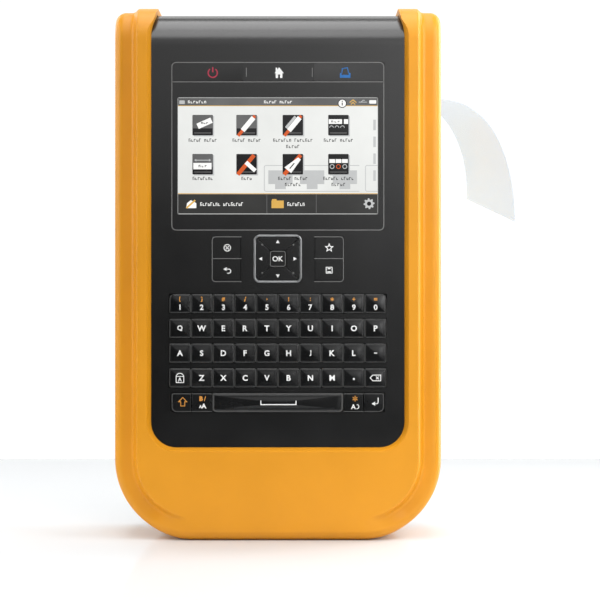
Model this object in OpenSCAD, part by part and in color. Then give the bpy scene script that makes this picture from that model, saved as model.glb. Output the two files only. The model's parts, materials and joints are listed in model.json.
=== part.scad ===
// Handheld label maker with a colour touch screen and a full keyboard, standing on its flat lower end.
// Millimetres. Every piece is drawn lying flat (x across, y along the body from its lower end,
// z towards the front face, z = 0 at the parting plane of the two casings) and then stood upright.

/* [Body] */
// Width over the rubber bumper
body_w = 155.5; // [140:0.5:200]
// Length from the flat lower end to the top of the casing
body_l = 250.5; // [245:0.5:320]
// Parting plane to the dark front face
front_d = 27; // [26:0.5:40]
// Parting plane to the back
back_d = 40; // [38:0.5:60]
// Wall of both casings
wall = 2.5; // [1.5:0.1:3.5]
// Front plate that carries the keys
face_t = 3; // [2:0.1:4]
// Radius where the front face rolls over to the top
top_r = 16; // [8:1:20]
// Radius along the back edges
back_r = 5; // [2:0.5:6]

/* [Bumper] */
// Rubber beside the casing
bumper_t = 7; // [4:0.5:9]
// Radius of the two lower corners
corner_r = 38; // [25:1:50]
// Radius of the two upper corners
horn_r = 5; // [3:0.5:8]
// Height of the bumper's ends above the casing
horn_h = 3; // [2:0.1:6]
// Width of the opening around the front face
face_w = 120; // [116:1:140]
// Height of that opening's lower edge
face_y = 44; // [38:0.5:50]
// Radius of that opening's lower corners
face_r = 12; // [6:1:20]
// Height of the lip above the front face
lip_h = 3; // [1:0.1:5]
// Thickness of the lip over the casing
lip_t = 10; // [8:0.5:12]
// How far the bumper reaches behind the parting plane
bumper_back = 30; // [20:1:36]
// Depth of the outer band below the lip's top
band_drop = 5.5; // [3:0.5:7]
// Width of the outer band
band_w = 4.7; // [3:0.1:6]
// Width of the groove beside it
groove_w = 2.7; // [1.5:0.1:4]
// Depth of that groove
groove_d = 0.6; // [0.3:0.1:2.5]
// Width of the raised flat beside the face
ridge_w = 6.1; // [4:0.1:8]

/* [Screen] */
// Width of the touch screen
screen_w = 95; // [80:0.5:100]
// Height of the touch screen
screen_h = 55.4; // [45:0.2:60]
// Height of its lower edge
screen_y = 154.4; // [152:0.1:162]
// Rim of the bezel around the screen, left and right
bezel_side = 3; // [2:0.1:6]
// Bezel below the screen
bezel_foot = 7.7; // [4:0.1:9]
// Row above the screen for the three function keys
function_h = 9.5; // [7:0.1:11]
// Space between the screen and that row
function_gap = 7.2; // [6:0.1:9]
// Thickness of the bezel
bezel_t = 1.2; // [0.8:0.1:1.6]

/* [Keys] */
// Sideways pitch of the letter keys
key_pitch = 10.28; // [9:0.02:10.8]
// Pitch between rows
row_pitch = 11.72; // [10:0.02:12]
// Height of a key
key_h = 8.9; // [7.5:0.1:9.5]
// Height of the lowest row's lower edge
keys_y = 60.8; // [55:0.1:63]
// Width of the two keys at each end of the lowest row
end_key_w = 9.7; // [8:0.1:10.5]
// Width of the space bar
space_w = 62; // [50:0.5:64]
// Proud height of a key
key_rise = 1; // [0.3:0.1:1.5]
// Travel of a key
key_travel = 1; // [0.5:0.1:1.2]
// Gap between two neighbouring keys
key_gap = 0.3; // [0.2:0.05:0.5]
// Gap between a key and its opening
key_fit = 0.25; // [0.15:0.05:0.4]
// Side of the arrow pad's trim ring
nav_size = 22.8; // [20:0.2:24]
// Height of the arrow pad's centre
nav_y = 133.3; // [131:0.1:137]
// Width of the trim ring's rim
nav_rim = 1; // [0.6:0.1:1.6]
// Side of the centre key
ok_size = 7.4; // [6:0.1:9]
// Distance of the side keys from the middle
side_key_x = 24.4; // [21:0.1:28]
// Width of a side key
side_key_w = 13.4; // [11:0.1:15]
// Height of a side key
side_key_h = 10.1; // [8:0.1:11]

/* [Doors] */
// Thickness of both rear doors
door_t = 2.5; // [2:0.1:3]
// Radius of a door's hinge barrel
barrel_r = 1.5; // [1.3:0.05:1.6]
// Radius of a hinge pin
hinge_pin_r = 0.75; // [0.5:0.05:0.9]
// Gap around a door
door_gap = 0.3; // [0.2:0.05:0.5]
// Width of the cassette door
cassette_door_w = 102; // [96:1:104]
// Height of the cassette door's lower edge
cassette_door_y = 155; // [153:1:159]
// Height of the cassette door
cassette_door_h = 88; // [84:1:90]
// Travel of the door latch
latch_travel = 2.5; // [1.5:0.1:3]

/* [Power] */
// Width of the battery pack
battery_w = 84; // [60:1:88]
// Length of the battery pack
battery_l = 98; // [80:1:100]
// Thickness of the battery pack
battery_d = 24; // [15:0.5:25]
// Height of the battery bay's lower edge
battery_y = 39; // [35:1:43]
// Clearance around the battery pack
battery_fit = 1; // [0.5:0.1:1.5]

/* [Tape] */
// Width of the tape
tape_w = 36; // [24:1:36]
// Thickness of the label strip
tape_t = 0.3; // [0.2:0.05:0.5]
// Height of the tape's path
tape_y = 210; // [208:0.5:212]
// Height of the exit slot
slot_h = 12; // [11:0.5:14]
// Radius of the full tape roll
roll_r = 17; // [12:0.5:18]
// Width of the cassette
cassette_w = 88; // [84:1:90]
// Length of the cassette
cassette_l = 74; // [70:1:76]
// Wall of the cassette
cassette_wall = 1.4; // [1:0.1:2]
// Radius of the platen roller
platen_r = 6; // [5:0.1:7]
// Radius of the platen shaft
platen_shaft_r = 2; // [1.5:0.1:2.5]
// Radial running clearance of shafts and wheels
running = 0.05; // [0.02:0.01:0.09]

/* [Gears] */
// Size of a tooth, as pitch diameter over number of teeth
gear_module = 1; // [0.8:0.05:1.05]
// Thickness of the gears
gear_t = 3.2; // [2:0.1:3.4]
// Teeth on the platen gear
platen_teeth = 24; // [20:1:26]
// Teeth on the idler gear
idler_teeth = 16; // [14:1:18]
// Teeth on the motor pinion
pinion_teeth = 12; // [10:1:14]
// Teeth on the ribbon drive gear
takeup_teeth = 20; // [18:1:22]

/* [Hidden] */
$fn = 48;
e = 0.01;
casing_w = body_w - 2 * bumper_t;
lip_under = front_d + lip_h - lip_t;
band_z = front_d + lip_h - band_drop;
slope_w = (body_w - face_w) / 2 - band_w - groove_w - ridge_w;
slope_x = band_w + groove_w;
// smooth stretch along the bottom, and how far its two steps stand in from the edge
nose_w = body_w - 2 * corner_r + 8;
nose_step = 1.5;
in_z = front_d - face_t;
boss_x = casing_w / 2 - 10;
boss_y = [30, body_l - 19];
boss_r = 4;
screw_r = 1.4;
screw_head_r = 2.8;
screw_head_z = -6;

bezel_w = screen_w + 2 * bezel_side - 0.2;
bezel_y = screen_y - bezel_foot;
bezel_top = screen_y + screen_h + function_gap + function_h;
function_w = bezel_w / 3 - key_gap;
glass_fit = 0.15;
glass_t = 1.8;
lcd_rim_x = 5.2;
lcd_rim_y = 5.9;
lcd_t = 3.3;

row_count = 5;
space_x = 0;
cap_foot = 1.5;
cap_flange = 0.8;
flange_gap = 0.3;
mat_t = 2.2;
board_t = 1.6;
mat_top = in_z - flange_gap - cap_foot - key_travel - 0.9;
board_z = mat_top - mat_t - board_t;
nav_r = 2.8;
side_key_dy = (side_key_h + key_gap) / 2;
rest_y = [face_y + 8, bezel_top + 3.5];

back_z = -back_d;
floor_z = back_z + wall;
barrel_z = back_z + barrel_r;
pin_len = 4;
barrel_bore = 6;
bay_w = battery_w + 2 * battery_fit;
bay_l = battery_l + 2 * battery_fit + 2 * barrel_r;
bay_wall = 1.6;
bay_depth = battery_d + 2;
// width and axis height of both doors
door_hinges = [[cassette_door_w, cassette_door_y + door_gap + barrel_r],
    [bay_w, battery_y + door_gap + barrel_r]];
latch_w = 15.4;
latch_l = 8.5;
latch_reach = 1.4;
latch_room = latch_l + latch_travel + 1;
latch_z0 = -0.5;
latch_d = 2.7;
latch_pocket = 3;
latch_block = 1.3;

chassis_t = 1.2;
gear_z = board_z - 2.0 - gear_t;
chassis_z = gear_z - 0.4 - chassis_t;
cassette_top = chassis_z - 0.6;
cassette_d = tape_w + 2 * cassette_wall + 4.6;
cassette_z = cassette_top - cassette_d;
cassette_x = -48;
cassette_y = tape_y - 45;
tape_z0 = cassette_z + 2 * cassette_wall + 1.6;
tape_mid = tape_z0 + tape_w / 2;
roll_x = cassette_x + 27;
roll_y = cassette_y + 37;
core_r = 6;
platen_x = 52;
platen_y = tape_y - platen_r - 0.5;
platen_pos = [platen_x, platen_y];
idler_pos = platen_pos + polar((platen_teeth + idler_teeth) * gear_module / 2, -120);
pinion_pos = idler_pos + polar((idler_teeth + pinion_teeth) * gear_module / 2, -30);
takeup_pos = idler_pos + polar((idler_teeth + takeup_teeth) * gear_module / 2, 180);
supply_pos = takeup_pos + [-4, 34];
spindle_r = 2;
spline_r = 2.5;
spool_bore = 2.9;
ribbon_r = 6;
supply_core_r = 3;
supply_r = 8;
axle_r = 1.5;
arm_z = cassette_z - 1.2;
arm_x0 = 44;
arm_x1 = 66;
arm_y0 = platen_y - 8.5;
head_wall_y = tape_y + 13;
motor_r = 9;
motor_l = 22;
cut_x = 60;
blade_t = 1;
plate_x = casing_w / 2 - wall - 0.5;
chassis_posts = [[-55, cassette_y + 4], [-55, tape_y + 11], [plate_x - 2, cassette_y],
    [plate_x - 2, tape_y + 13]];
post_r = 2.2;
strip_x = arm_x1 + 0.6;
port_y = [104, 128];
port_z = -11;
port_window = [94, 142, -20, -2];
foot_r = 5;
foot_t = 1.2;
foot_x = casing_w / 2 - 13;
foot_y = [50, body_l - 36];

// ---- helpers -------------------------------------------------------------

function polar(r, a) = [r * cos(a), r * sin(a)];

// lying flat to standing upright
module stand() rotate([90, 0, 0]) children();

// 2D (y, z) profile run along x, centred
module along_x(w) translate([-w / 2, 0, 0]) rotate([90, 0, 90]) linear_extrude(w) children();

// 2D (x, z) profile run along +y from y0
module along_y(y0, l) translate([0, y0 + l, 0]) rotate([90, 0, 0]) linear_extrude(l) children();

module slab(z0, z1) translate([0, 0, z0]) linear_extrude(z1 - z0) children();

// rectangle from corner a to corner b with its own lower and upper corner radii
module rounded(a, b, r_low, r_high) {
    w = b[0] - a[0];
    translate([a[0], a[1] + r_low]) square([w, b[1] - a[1] - r_low - r_high]);
    translate([a[0] + r_low, a[1]]) square([w - 2 * r_low, r_low + e]);
    translate([a[0] + r_high, b[1] - r_high - e]) square([w - 2 * r_high, r_high + e]);
    for (x = [a[0] + r_low, b[0] - r_low]) translate([x, a[1] + r_low]) circle(r_low);
    for (x = [a[0] + r_high, b[0] - r_high]) translate([x, b[1] - r_high]) circle(r_high);
}

// body outline, drawn in from the bumper's outside by inset, up to the height top
module outline(inset, top)
    rounded([-body_w / 2 + inset, inset], [body_w / 2 - inset, top],
        corner_r - inset, max(horn_r - inset / 2, 1));

module face_outline(inset)
    rounded([-face_w / 2 + inset, face_y + inset], [face_w / 2 - inset, body_l + 20],
        face_r - inset, 1);

// side view of the casing, with its rolled top edge
module side_profile(inset) {
    translate([-5, -back_d - 5]) square([body_l - top_r + 5, back_d + front_d + 5 - inset]);
    translate([0, -back_d - 5]) square([body_l - inset, back_d + front_d + 5 - top_r]);
    translate([body_l - top_r, front_d - top_r]) circle(top_r - inset);
}

// end view of the rear casing, with its rounded back edges
module back_profile(w) {
    translate([-w / 2, back_z + back_r]) square([w, back_d]);
    translate([-w / 2 + back_r, back_z]) square([w - 2 * back_r, back_r + 1]);
    for (x = [-1, 1]) translate([x * (w / 2 - back_r), back_z + back_r]) circle(back_r);
}

module box(a, b) translate(a) cube(b - a);

module rod(p, z0, z1, r) translate([p[0], p[1], z0]) cylinder(h = z1 - z0, r = r);

// ---- bumper and casings --------------------------------------------------

module bumper() color("orange") stand() difference() {
    union() {
        slab(-bumper_back, band_z) outline(0, body_l + horn_h);
        for (i = [0:2]) slab(band_z - 1, band_z + band_drop * (i + 1) / 3)
            outline(slope_x + slope_w * i / 2, body_l + horn_h);
        for (i = [0:1]) slab(band_z - 1, front_d + lip_h - nose_step * (1 - i))
            translate([-nose_w / 2, nose_step * (1 + i)]) square([nose_w, face_y]);
    }
    // groove between the outer band and the ridge, left out along the bottom
    slab(band_z - groove_d, band_z + 1) difference() {
        outline(band_w, body_l + horn_h + 5);
        outline(slope_x, body_l + horn_h + 6);
        translate([-nose_w / 2, 0]) square([nose_w, face_y]);
    }
    slab(-bumper_back - 1, lip_under) outline(bumper_t, body_l);
    slab(-bumper_back - 1, front_d + lip_h + 1) face_outline(0);
    // window for the sockets, on the left
    box([-body_w / 2 - 1, port_window[0], port_window[2]], [0, port_window[1], port_window[3]]);
    label_way(0);
    // the rolled top edge
    along_x(body_w + 2) difference() {
        translate([body_l + horn_h - top_r, front_d + lip_h - top_r]) square(top_r + 1);
        translate([body_l + horn_h - top_r, front_d + lip_h - top_r]) circle(top_r);
    }
}

module key_opening(x, y, w, h) translate([0, 0, in_z - 1]) linear_extrude(face_t + 2)
    rounded([x - w / 2 - key_fit, y - h / 2 - key_fit], [x + w / 2 + key_fit, y + h / 2 + key_fit],
        0.8, 0.8);

function row_y(i) = keys_y + key_h / 2 + (row_count - i) * row_pitch;

module front_shell() color([0.1, 0.1, 0.1]) stand() difference() {
    union() {
        difference() {
            intersection() {
                union() {
                    slab(0, lip_under) outline(bumper_t, body_l);
                    slab(1, front_d) face_outline(0);
                }
                along_x(body_w) side_profile(0);
            }
            intersection() {
                union() {
                    slab(-1, lip_under - wall) outline(bumper_t + wall, body_l);
                    slab(-1, in_z) face_outline(wall);
                }
                along_x(body_w) side_profile(wall);
            }
        }
        for (x = [-1, 1], y = boss_y) rod([x * boss_x, y], 0, lip_under - wall + 1, boss_r);
        // rests for the main board
        for (x = [-1, 1], y = rest_y) box([x * (face_w / 2 - 5) - 4, y, board_z + board_t],
            [x * (face_w / 2 - 5) + 4, y + 6, in_z + 1]);
    }
    for (x = [-1, 1], y = boss_y) rod([x * boss_x, y], -1, lip_under - wall - 2, screw_r);
    // recess for the bezel, window behind it
    box([-bezel_w / 2, bezel_y, front_d - bezel_t], [bezel_w / 2, bezel_top, front_d + 1]);
    box([-screen_w / 2, screen_y, in_z - 1], [screen_w / 2, screen_y + screen_h, front_d + 1]);
    for (i = [-1:1]) key_opening(i * bezel_w / 3, bezel_top - function_h / 2, function_w,
        function_h - 1);
    for (i = [1:row_count - 1]) key_opening(0, row_y(i), 10 * key_pitch, key_h);
    key_opening(0, row_y(row_count), space_w + 4 * end_key_w, key_h);
    key_opening(0, nav_y, nav_size - 2 * nav_rim - 0.8, nav_size - 2 * nav_rim - 0.8);
    for (x = [-1, 1]) key_opening(x * side_key_x, nav_y, side_key_w, 2 * side_key_h + key_gap);
    label_way(casing_w / 2 - wall - 1);
}

// way out for the label, from x to the outside
module label_way(x)
    box([x, tape_y - slot_h / 2, tape_z0 - 2.5], [body_w / 2 + 1, tape_y + slot_h / 2,
        tape_z0 + tape_w + 2.5]);

module rear_shell() color([0.13, 0.13, 0.13]) stand() difference() {
    union() {
        difference() {
            intersection() {
                slab(back_z, 0) outline(bumper_t, body_l);
                along_y(0, body_l + 1) back_profile(casing_w);
                along_x(body_w) back_edge_profile();
            }
            slab(floor_z, 1) outline(bumper_t + wall, body_l - wall);
        }
        for (x = [-1, 1], y = boss_y) rod([x * boss_x, y], floor_z - 1, 0, boss_r);
        for (p = chassis_posts) rod(p, floor_z - 1, chassis_z, post_r);
        // battery bay
        box([-bay_w / 2 - bay_wall, battery_y - bay_wall, floor_z - 1],
            [bay_w / 2 + bay_wall, battery_y + bay_l + bay_wall, floor_z + bay_depth + bay_wall]);
    }
    box([-bay_w / 2, battery_y, back_z - 1], [bay_w / 2, battery_y + bay_l, floor_z + bay_depth]);
    // cassette door
    box([-cassette_door_w / 2, cassette_door_y, back_z - 1],
        [cassette_door_w / 2, cassette_door_y + cassette_door_h, floor_z + 1]);
    box([-latch_w / 2 - 0.3, cassette_door_y + cassette_door_h - 1, back_z - 1],
        [latch_w / 2 + 0.3, cassette_door_y + cassette_door_h + latch_reach + 0.8, floor_z + 1]);
    // hinge pin holes
    for (s = door_hinges) translate([-s[0] / 2 - pin_len, s[1], barrel_z]) rotate([0, 90, 0])
        cylinder(h = s[0] + 2 * pin_len, r = hinge_pin_r);
    label_way(casing_w / 2 - wall - 1);
    for (x = [-1, 1], y = boss_y) {
        rod([x * boss_x, y], back_z - 1, 1, screw_r + 0.3);
        rod([x * boss_x, y], back_z - 1, screw_head_z, screw_head_r + 0.4);
    }
    // sockets on the left
    box([-casing_w / 2 - 1, port_y[0] - 6.3, port_z - 5.8], [-casing_w / 2 + wall + 1,
        port_y[0] + 6.3, port_z + 5.8]);
    translate([-casing_w / 2 - 1, port_y[1], port_z]) rotate([0, 90, 0]) cylinder(h = wall + 2,
        r = 5.2);
}

// side view of the rear casing, with its rounded back edges
module back_edge_profile() {
    translate([bumper_t - 1, back_z + back_r]) square([body_l, back_d]);
    translate([bumper_t + back_r, back_z]) square([body_l - bumper_t - 2 * back_r, back_r + 1]);
    for (y = [bumper_t + back_r, body_l - back_r]) translate([y, back_z + back_r]) circle(back_r);
}

// ---- rear doors ----------------------------------------------------------

module rear_door(w, y0, y1) difference() {
    union() {
        box([-w / 2 + door_gap, y0 + door_gap + barrel_r, back_z], [w / 2 - door_gap,
            y1 - door_gap, back_z + door_t]);
        translate([-w / 2 + door_gap, y0 + door_gap + barrel_r, barrel_z]) rotate([0, 90, 0])
            cylinder(h = w - 2 * door_gap, r = barrel_r);
    }
    for (x = [-w / 2, w / 2 - barrel_bore]) translate([x, y0 + door_gap + barrel_r, barrel_z])
        rotate([0, 90, 0]) cylinder(h = barrel_bore, r = hinge_pin_r + running);
}

module cassette_door() color([0.14, 0.14, 0.14]) stand() difference() {
    top = cassette_door_y + cassette_door_h - door_gap;
    union() {
        rear_door(cassette_door_w, cassette_door_y, cassette_door_y + cassette_door_h);
        box([-latch_w / 2 - 3, top - latch_room - 2, back_z + door_t - 1],
            [latch_w / 2 + 3, top - 1.5, back_z + latch_pocket + latch_block]);
    }
    box([-latch_w / 2 - 0.3, top - latch_room, back_z - 1], [latch_w / 2 + 0.3, top + 1,
        back_z + latch_pocket]);
}

module door_latch() color([0.2, 0.2, 0.2]) stand() {
    top = cassette_door_y + cassette_door_h - door_gap;
    difference() {
        union() {
            box([-latch_w / 2, top - latch_l, back_z], [latch_w / 2, top + latch_reach,
                back_z + latch_d]);
            for (i = [0:4]) box([-latch_w / 2 + 2, top - latch_l + 1 + i * 1.4, back_z + latch_z0],
                [latch_w / 2 - 2, top - latch_l + 1.7 + i * 1.4, back_z + 1]);
        }
        for (x = [-1, 1]) translate([x * 4, top - latch_l - 1, back_z + 1.5]) rotate([-90, 0, 0])
            cylinder(h = 3, r = 1.2);
    }
}

// two small coils behind the latch: tube swept along a helix
module coil(r, wire, turns, length) {
    sides = 6;
    steps = 12 * turns;
    pts = [for (i = [0:steps], j = [0:sides - 1])
        let (a = 30 * i, b = 360 * j / sides, q = r + wire * cos(b))
        [q * cos(a), wire + wire * sin(b) + (length - 2 * wire) * i / steps, q * sin(a)]];
    walls = [for (i = [0:steps - 1], j = [0:sides - 1]) each
        let (a = i * sides + j, b = i * sides + (j + 1) % sides, c = b + sides, d = a + sides) [[a,
            b, c], [a, c, d]]];
    ends = [[for (j = [sides - 1:-1:0]) j], [for (j = [0:sides - 1]) steps * sides + j]];
    polyhedron(pts, concat(walls, ends));
}

module latch_spring() color("silver") stand()
    for (x = [-1, 1]) translate([x * 4, cassette_door_y + cassette_door_h - door_gap - latch_room,
        back_z + 1.5])
        coil(0.8, 0.15, 5, latch_room - latch_l + 2);

module battery_door() color([0.14, 0.14, 0.14]) stand() difference() {
    rear_door(bay_w, battery_y, battery_y + bay_l);
    // finger grooves
    for (i = [0:3]) box([-12, battery_y + bay_l - 8 - i * 3, back_z - 1], [12,
        battery_y + bay_l - 6.6 - i * 3, back_z + 0.6]);
}

module door_pins() color("silver") stand()
    for (s = door_hinges, x = [-1, 1])
        translate([x * (s[0] / 2 + (pin_len - barrel_bore) / 2 + 0.2), s[1], barrel_z]) rotate([0,
            90, 0])
            cylinder(h = pin_len + barrel_bore - 0.6, r = hinge_pin_r, center = true);

module case_screws() color("silver") stand() for (x = [-1, 1], y = boss_y) difference() {
    union() {
        rod([x * boss_x, y], screw_head_z, lip_under - wall - 4, screw_r);
        rod([x * boss_x, y], screw_head_z - 2, screw_head_z, screw_head_r);
    }
    for (a = [0, 90]) translate([x * boss_x, y, screw_head_z - 2]) rotate(a) cube([3.4, 0.7, 2],
        center = true);
}

module rear_feet() color([0.05, 0.05, 0.05]) stand()
    for (x = [-1, 1], y = foot_y) rod([x * foot_x, y], back_z - foot_t, back_z, foot_r);

// ---- screen and electronics ----------------------------------------------

module screen_bezel() color([0.03, 0.03, 0.03]) stand() difference() {
    box([-bezel_w / 2 + 0.1, bezel_y + 0.1, front_d - bezel_t], [bezel_w / 2 - 0.1,
        bezel_top - 0.1, front_d]);
    box([-screen_w / 2, screen_y, in_z], [screen_w / 2, screen_y + screen_h, front_d + 1]);
    for (i = [-1:1]) key_opening(i * bezel_w / 3, bezel_top - function_h / 2, function_w,
        function_h - 1);
}

module touch_screen() color([0.8, 0.85, 0.85]) stand()
    box([-screen_w / 2 + glass_fit, screen_y + glass_fit, front_d - 0.2 - glass_t],
        [screen_w / 2 - glass_fit, screen_y + screen_h - glass_fit, front_d - 0.2]);

module display_module() color("slategray") stand() {
    box([-screen_w / 2 - lcd_rim_x, screen_y - lcd_rim_y, in_z - 0.2 - lcd_t],
        [screen_w / 2 + lcd_rim_x, screen_y + screen_h + lcd_rim_y, in_z - 0.2]);
    box([-screen_w / 2 + 0.5, screen_y + 0.5, in_z - 0.3],
        [screen_w / 2 - 0.5, screen_y + screen_h - 0.5, front_d - 0.2 - glass_t]);
}

module main_board() color("darkgreen") stand() {
    box([-face_w / 2 + 8, face_y + 7, board_z], [face_w / 2 - 8, body_l - 9, board_z + board_t]);
    for (c = [[-30, 80, 12, 12], [8, 74, 16, 10], [-36, 112, 8, 8], [-2, 110, 20, 14], [26, 96, 9,
        7], [-32, 140, 18, 7]])
        box([c[0], c[1], board_z - 1.4], [c[0] + c[2], c[1] + c[3], board_z + e]);
}

module keypad_mat() color([0.5, 0.5, 0.5]) stand() {
    box([-face_w / 2 + 8, face_y + 15, board_z + board_t], [face_w / 2 - 8,
        nav_y + nav_size / 2 + 1.2, mat_top - 0.6]);
    for (i = [1:4], k = [0:9]) rod([(k - 4.5) * key_pitch, row_y(i)], mat_top - 1, mat_top, 2.5);
    for (x = [-1, 1], k = [0, 1]) rod([x * (space_w / 2 + end_key_w * (k + 0.5)), row_y(5)],
        mat_top - 1, mat_top, 2.5);
    for (x = [-20, 0, 20]) rod([x, row_y(5)], mat_top - 1, mat_top, 2.5);
    for (x = [-1, 1], y = [-1, 1]) rod([x * side_key_x, nav_y + y * side_key_h / 2], mat_top - 1,
        mat_top, 2.5);
    for (a = [0:90:270]) rod([7 * cos(a), nav_y + 7 * sin(a)], mat_top - 1, mat_top, 1.8);
    rod([0, nav_y], mat_top - 1, mat_top, 2.2);
}

module battery_pack() color("dimgray") stand()
    slab(floor_z + 0.8, floor_z + 0.8 + battery_d)
        rounded([-battery_w / 2, battery_y + 2 * barrel_r + battery_fit],
            [battery_w / 2, battery_y + 2 * barrel_r + battery_fit + battery_l], 3, 3);

module battery_contacts() color("gold") stand()
    for (i = [-1:1]) box([i * 8 - 2, battery_y + bay_l - battery_fit + 0.05, floor_z + 4],
        [i * 8 + 2, battery_y + bay_l, floor_z + 16]);

module usb_port() color("silver") stand() translate([-casing_w / 2 + 0.4, port_y[0],
    port_z]) difference() {
    union() {
        difference() {
            box([0, -6, -5.5], [16, 6, 5.5]);
            box([-1, -5.2, -4.7], [14, 5.2, 4.7]);
        }
        box([2, -2.8, -1.6], [14.5, 2.8, 1.6]);
    }
}

module dc_jack() color([0.1, 0.1, 0.1]) stand() translate([-casing_w / 2 + 0.4, port_y[1],
    port_z]) rotate([0, 90, 0]) {
    difference() {
        cylinder(h = 13, r = 5);
        translate([0, 0, -1]) cylinder(h = 11, r = 3.2);
    }
    translate([0, 0, 1]) cylinder(h = 10, r = 0.9);
}

// ---- keys ----------------------------------------------------------------

// one cap with a foot wider than its opening, above and below the cap only
module cap(x, y, w, h, rise = key_rise) {
    slab(in_z - flange_gap - cap_foot, front_d + rise)
        rounded([x - w / 2, y - h / 2], [x + w / 2, y + h / 2], 0.6, 0.6);
    slab(in_z - flange_gap - cap_foot, in_z - flange_gap)
        translate([x - w / 2, y - h / 2 - cap_flange]) square([w, h + 2 * cap_flange]);
}

module letter_row(i) color([0.04, 0.04, 0.04]) stand()
    for (k = [0:9]) cap((k - 4.5) * key_pitch, row_y(i), key_pitch - key_gap, key_h);

module number_keys() letter_row(1);
module upper_letter_keys() letter_row(2);
module middle_letter_keys() letter_row(3);
module lower_letter_keys() letter_row(4);

module end_key(side, k) color([0.04, 0.04, 0.04]) stand()
    cap(side * (space_w / 2 + end_key_w * (k + 0.5)), row_y(5), end_key_w - key_gap, key_h);

module shift_key() end_key(-1, 1);
module font_key() end_key(-1, 0);
module symbol_key() end_key(1, 0);
module enter_key() end_key(1, 1);
module space_key() color([0.04, 0.04, 0.04]) stand() cap(space_x, row_y(5), space_w - key_gap, key_h);

module function_key(i) color([0.04, 0.04, 0.04]) stand() {
    cap(i * bezel_w / 3, bezel_top - function_h / 2, function_w, function_h - 1, 0);
    rod([i * bezel_w / 3, bezel_top - function_h / 2], board_z + board_t + 0.8, in_z - 1, 1.5);
}

module power_key() function_key(-1);
module home_key() function_key(0);
module print_key() function_key(1);

// side keys have their foot on the left and right instead
module side_key(x, y) color([0.04, 0.04, 0.04]) stand() {
    slab(in_z - flange_gap - cap_foot, front_d + 0.4) rounded([x - side_key_w / 2, y - side_key_h / 2],
        [x + side_key_w / 2, y + side_key_h / 2], 0.6, 0.6);
    slab(in_z - flange_gap - cap_foot, in_z - flange_gap)
        translate([x - side_key_w / 2 - cap_flange,
            y - side_key_h / 2]) square([side_key_w + 2 * cap_flange, side_key_h]);
}

module cancel_key() side_key(-side_key_x, nav_y + side_key_dy);
module back_key() side_key(-side_key_x, nav_y - side_key_dy);
module favourite_key() side_key(side_key_x, nav_y + side_key_dy);
module save_key() side_key(side_key_x, nav_y - side_key_dy);

module nav_ring() color("silver") stand() translate([0, nav_y, 0]) slab(front_d,
    front_d + 0.6) difference() {
    rounded([-nav_size / 2, -nav_size / 2], [nav_size / 2, nav_size / 2], nav_r, nav_r);
    rounded([-nav_size / 2 + nav_rim, -nav_size / 2 + nav_rim], [nav_size / 2 - nav_rim,
        nav_size / 2 - nav_rim],
        nav_r - nav_rim, nav_r - nav_rim);
}

// a quarter of the pad, between the centre key and the ring
module arrow_key(a) color([0.04, 0.04, 0.04]) stand() translate([0, nav_y, 0]) {
    half = nav_size / 2 - nav_rim - 0.4;
    inner = ok_size / 2 + key_gap;
    difference() {
        union() {
            slab(in_z - flange_gap - cap_foot, front_d + 0.3) intersection() {
                rounded([-half, -half], [half, half], nav_r - nav_rim, nav_r - nav_rim);
                rotate(a) wedge(half);
            }
            slab(in_z - flange_gap - cap_foot, in_z - flange_gap) rotate(a)
                translate([half - 1, -half + 3]) square([1 + cap_flange, 2 * half - 6]);
        }
        box([-inner, -inner, 0], [inner, inner, front_d + 5]);
    }
}

module wedge(r) polygon([[key_gap * 0.7, 0], [r + 1, r + 1 - key_gap * 0.7], [r + 1,
    -r - 1 + key_gap * 0.7]]);

module right_key() arrow_key(0);
module up_key() arrow_key(90);
module left_key() arrow_key(180);
module down_key() arrow_key(270);

module ok_key() color([0.04, 0.04, 0.04]) stand() slab(in_z - flange_gap - cap_foot, front_d + 0.6)
    rounded([-ok_size / 2, nav_y - ok_size / 2], [ok_size / 2, nav_y + ok_size / 2], 1, 1);

// ---- cassette ------------------------------------------------------------

module cassette_case() color([0.75, 0.75, 0.72]) stand() difference() {
    c1 = [cassette_x + cassette_w, cassette_y + cassette_l];
    union() {
        difference() {
            slab(cassette_z + cassette_wall, cassette_top) rounded([cassette_x, cassette_y], c1, 3, 3);
            slab(cassette_z, cassette_top - cassette_wall) rounded([cassette_x + cassette_wall,
                cassette_y + cassette_wall],
                c1 - [cassette_wall, cassette_wall], 2, 2);
        }
        rod([roll_x, roll_y], tape_z0 - 1, cassette_top - e, core_r - 1);
        rod(supply_pos, tape_z0 - 1, cassette_top - e, supply_core_r - 1);
    }
    rod(takeup_pos, cassette_top - 5, cassette_top + 1, spline_r + 1.2);
    // mouth for the tape
    box([cassette_x + cassette_w - 3, tape_y - 14, tape_z0 - 1], [cassette_x + cassette_w + 1,
        tape_y + 6, tape_z0 + tape_w + 1]);
}

module cassette_lid() color([0.8, 0.8, 0.77]) stand()
    slab(cassette_z, cassette_z + cassette_wall) rounded([cassette_x, cassette_y],
        [cassette_x + cassette_w, cassette_y + cassette_l], 3, 3);

module tape_roll() color("white") stand() difference() {
    rod([roll_x, roll_y], tape_z0, tape_z0 + tape_w, roll_r);
    rod([roll_x, roll_y], tape_z0 - 1, tape_z0 + tape_w + 1, core_r - 1 + running);
}

module spool(p, r, bore) difference() {
    union() {
        rod(p, tape_z0, tape_z0 + tape_w, r);
        for (z = [tape_z0, tape_z0 + tape_w - 0.8]) rod(p, z, z + 0.8, r + 1.2);
    }
    rod(p, tape_z0 - 1, tape_z0 + tape_w + 1, bore);
}

module ribbon_supply_spool() color([0.1, 0.1, 0.1]) stand() spool(supply_pos, supply_r,
    supply_core_r - 1 + running);
module ribbon_takeup_spool() color([0.1, 0.1, 0.1]) stand() spool(takeup_pos, ribbon_r, spool_bore);

// ---- print mechanism -----------------------------------------------------

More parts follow.
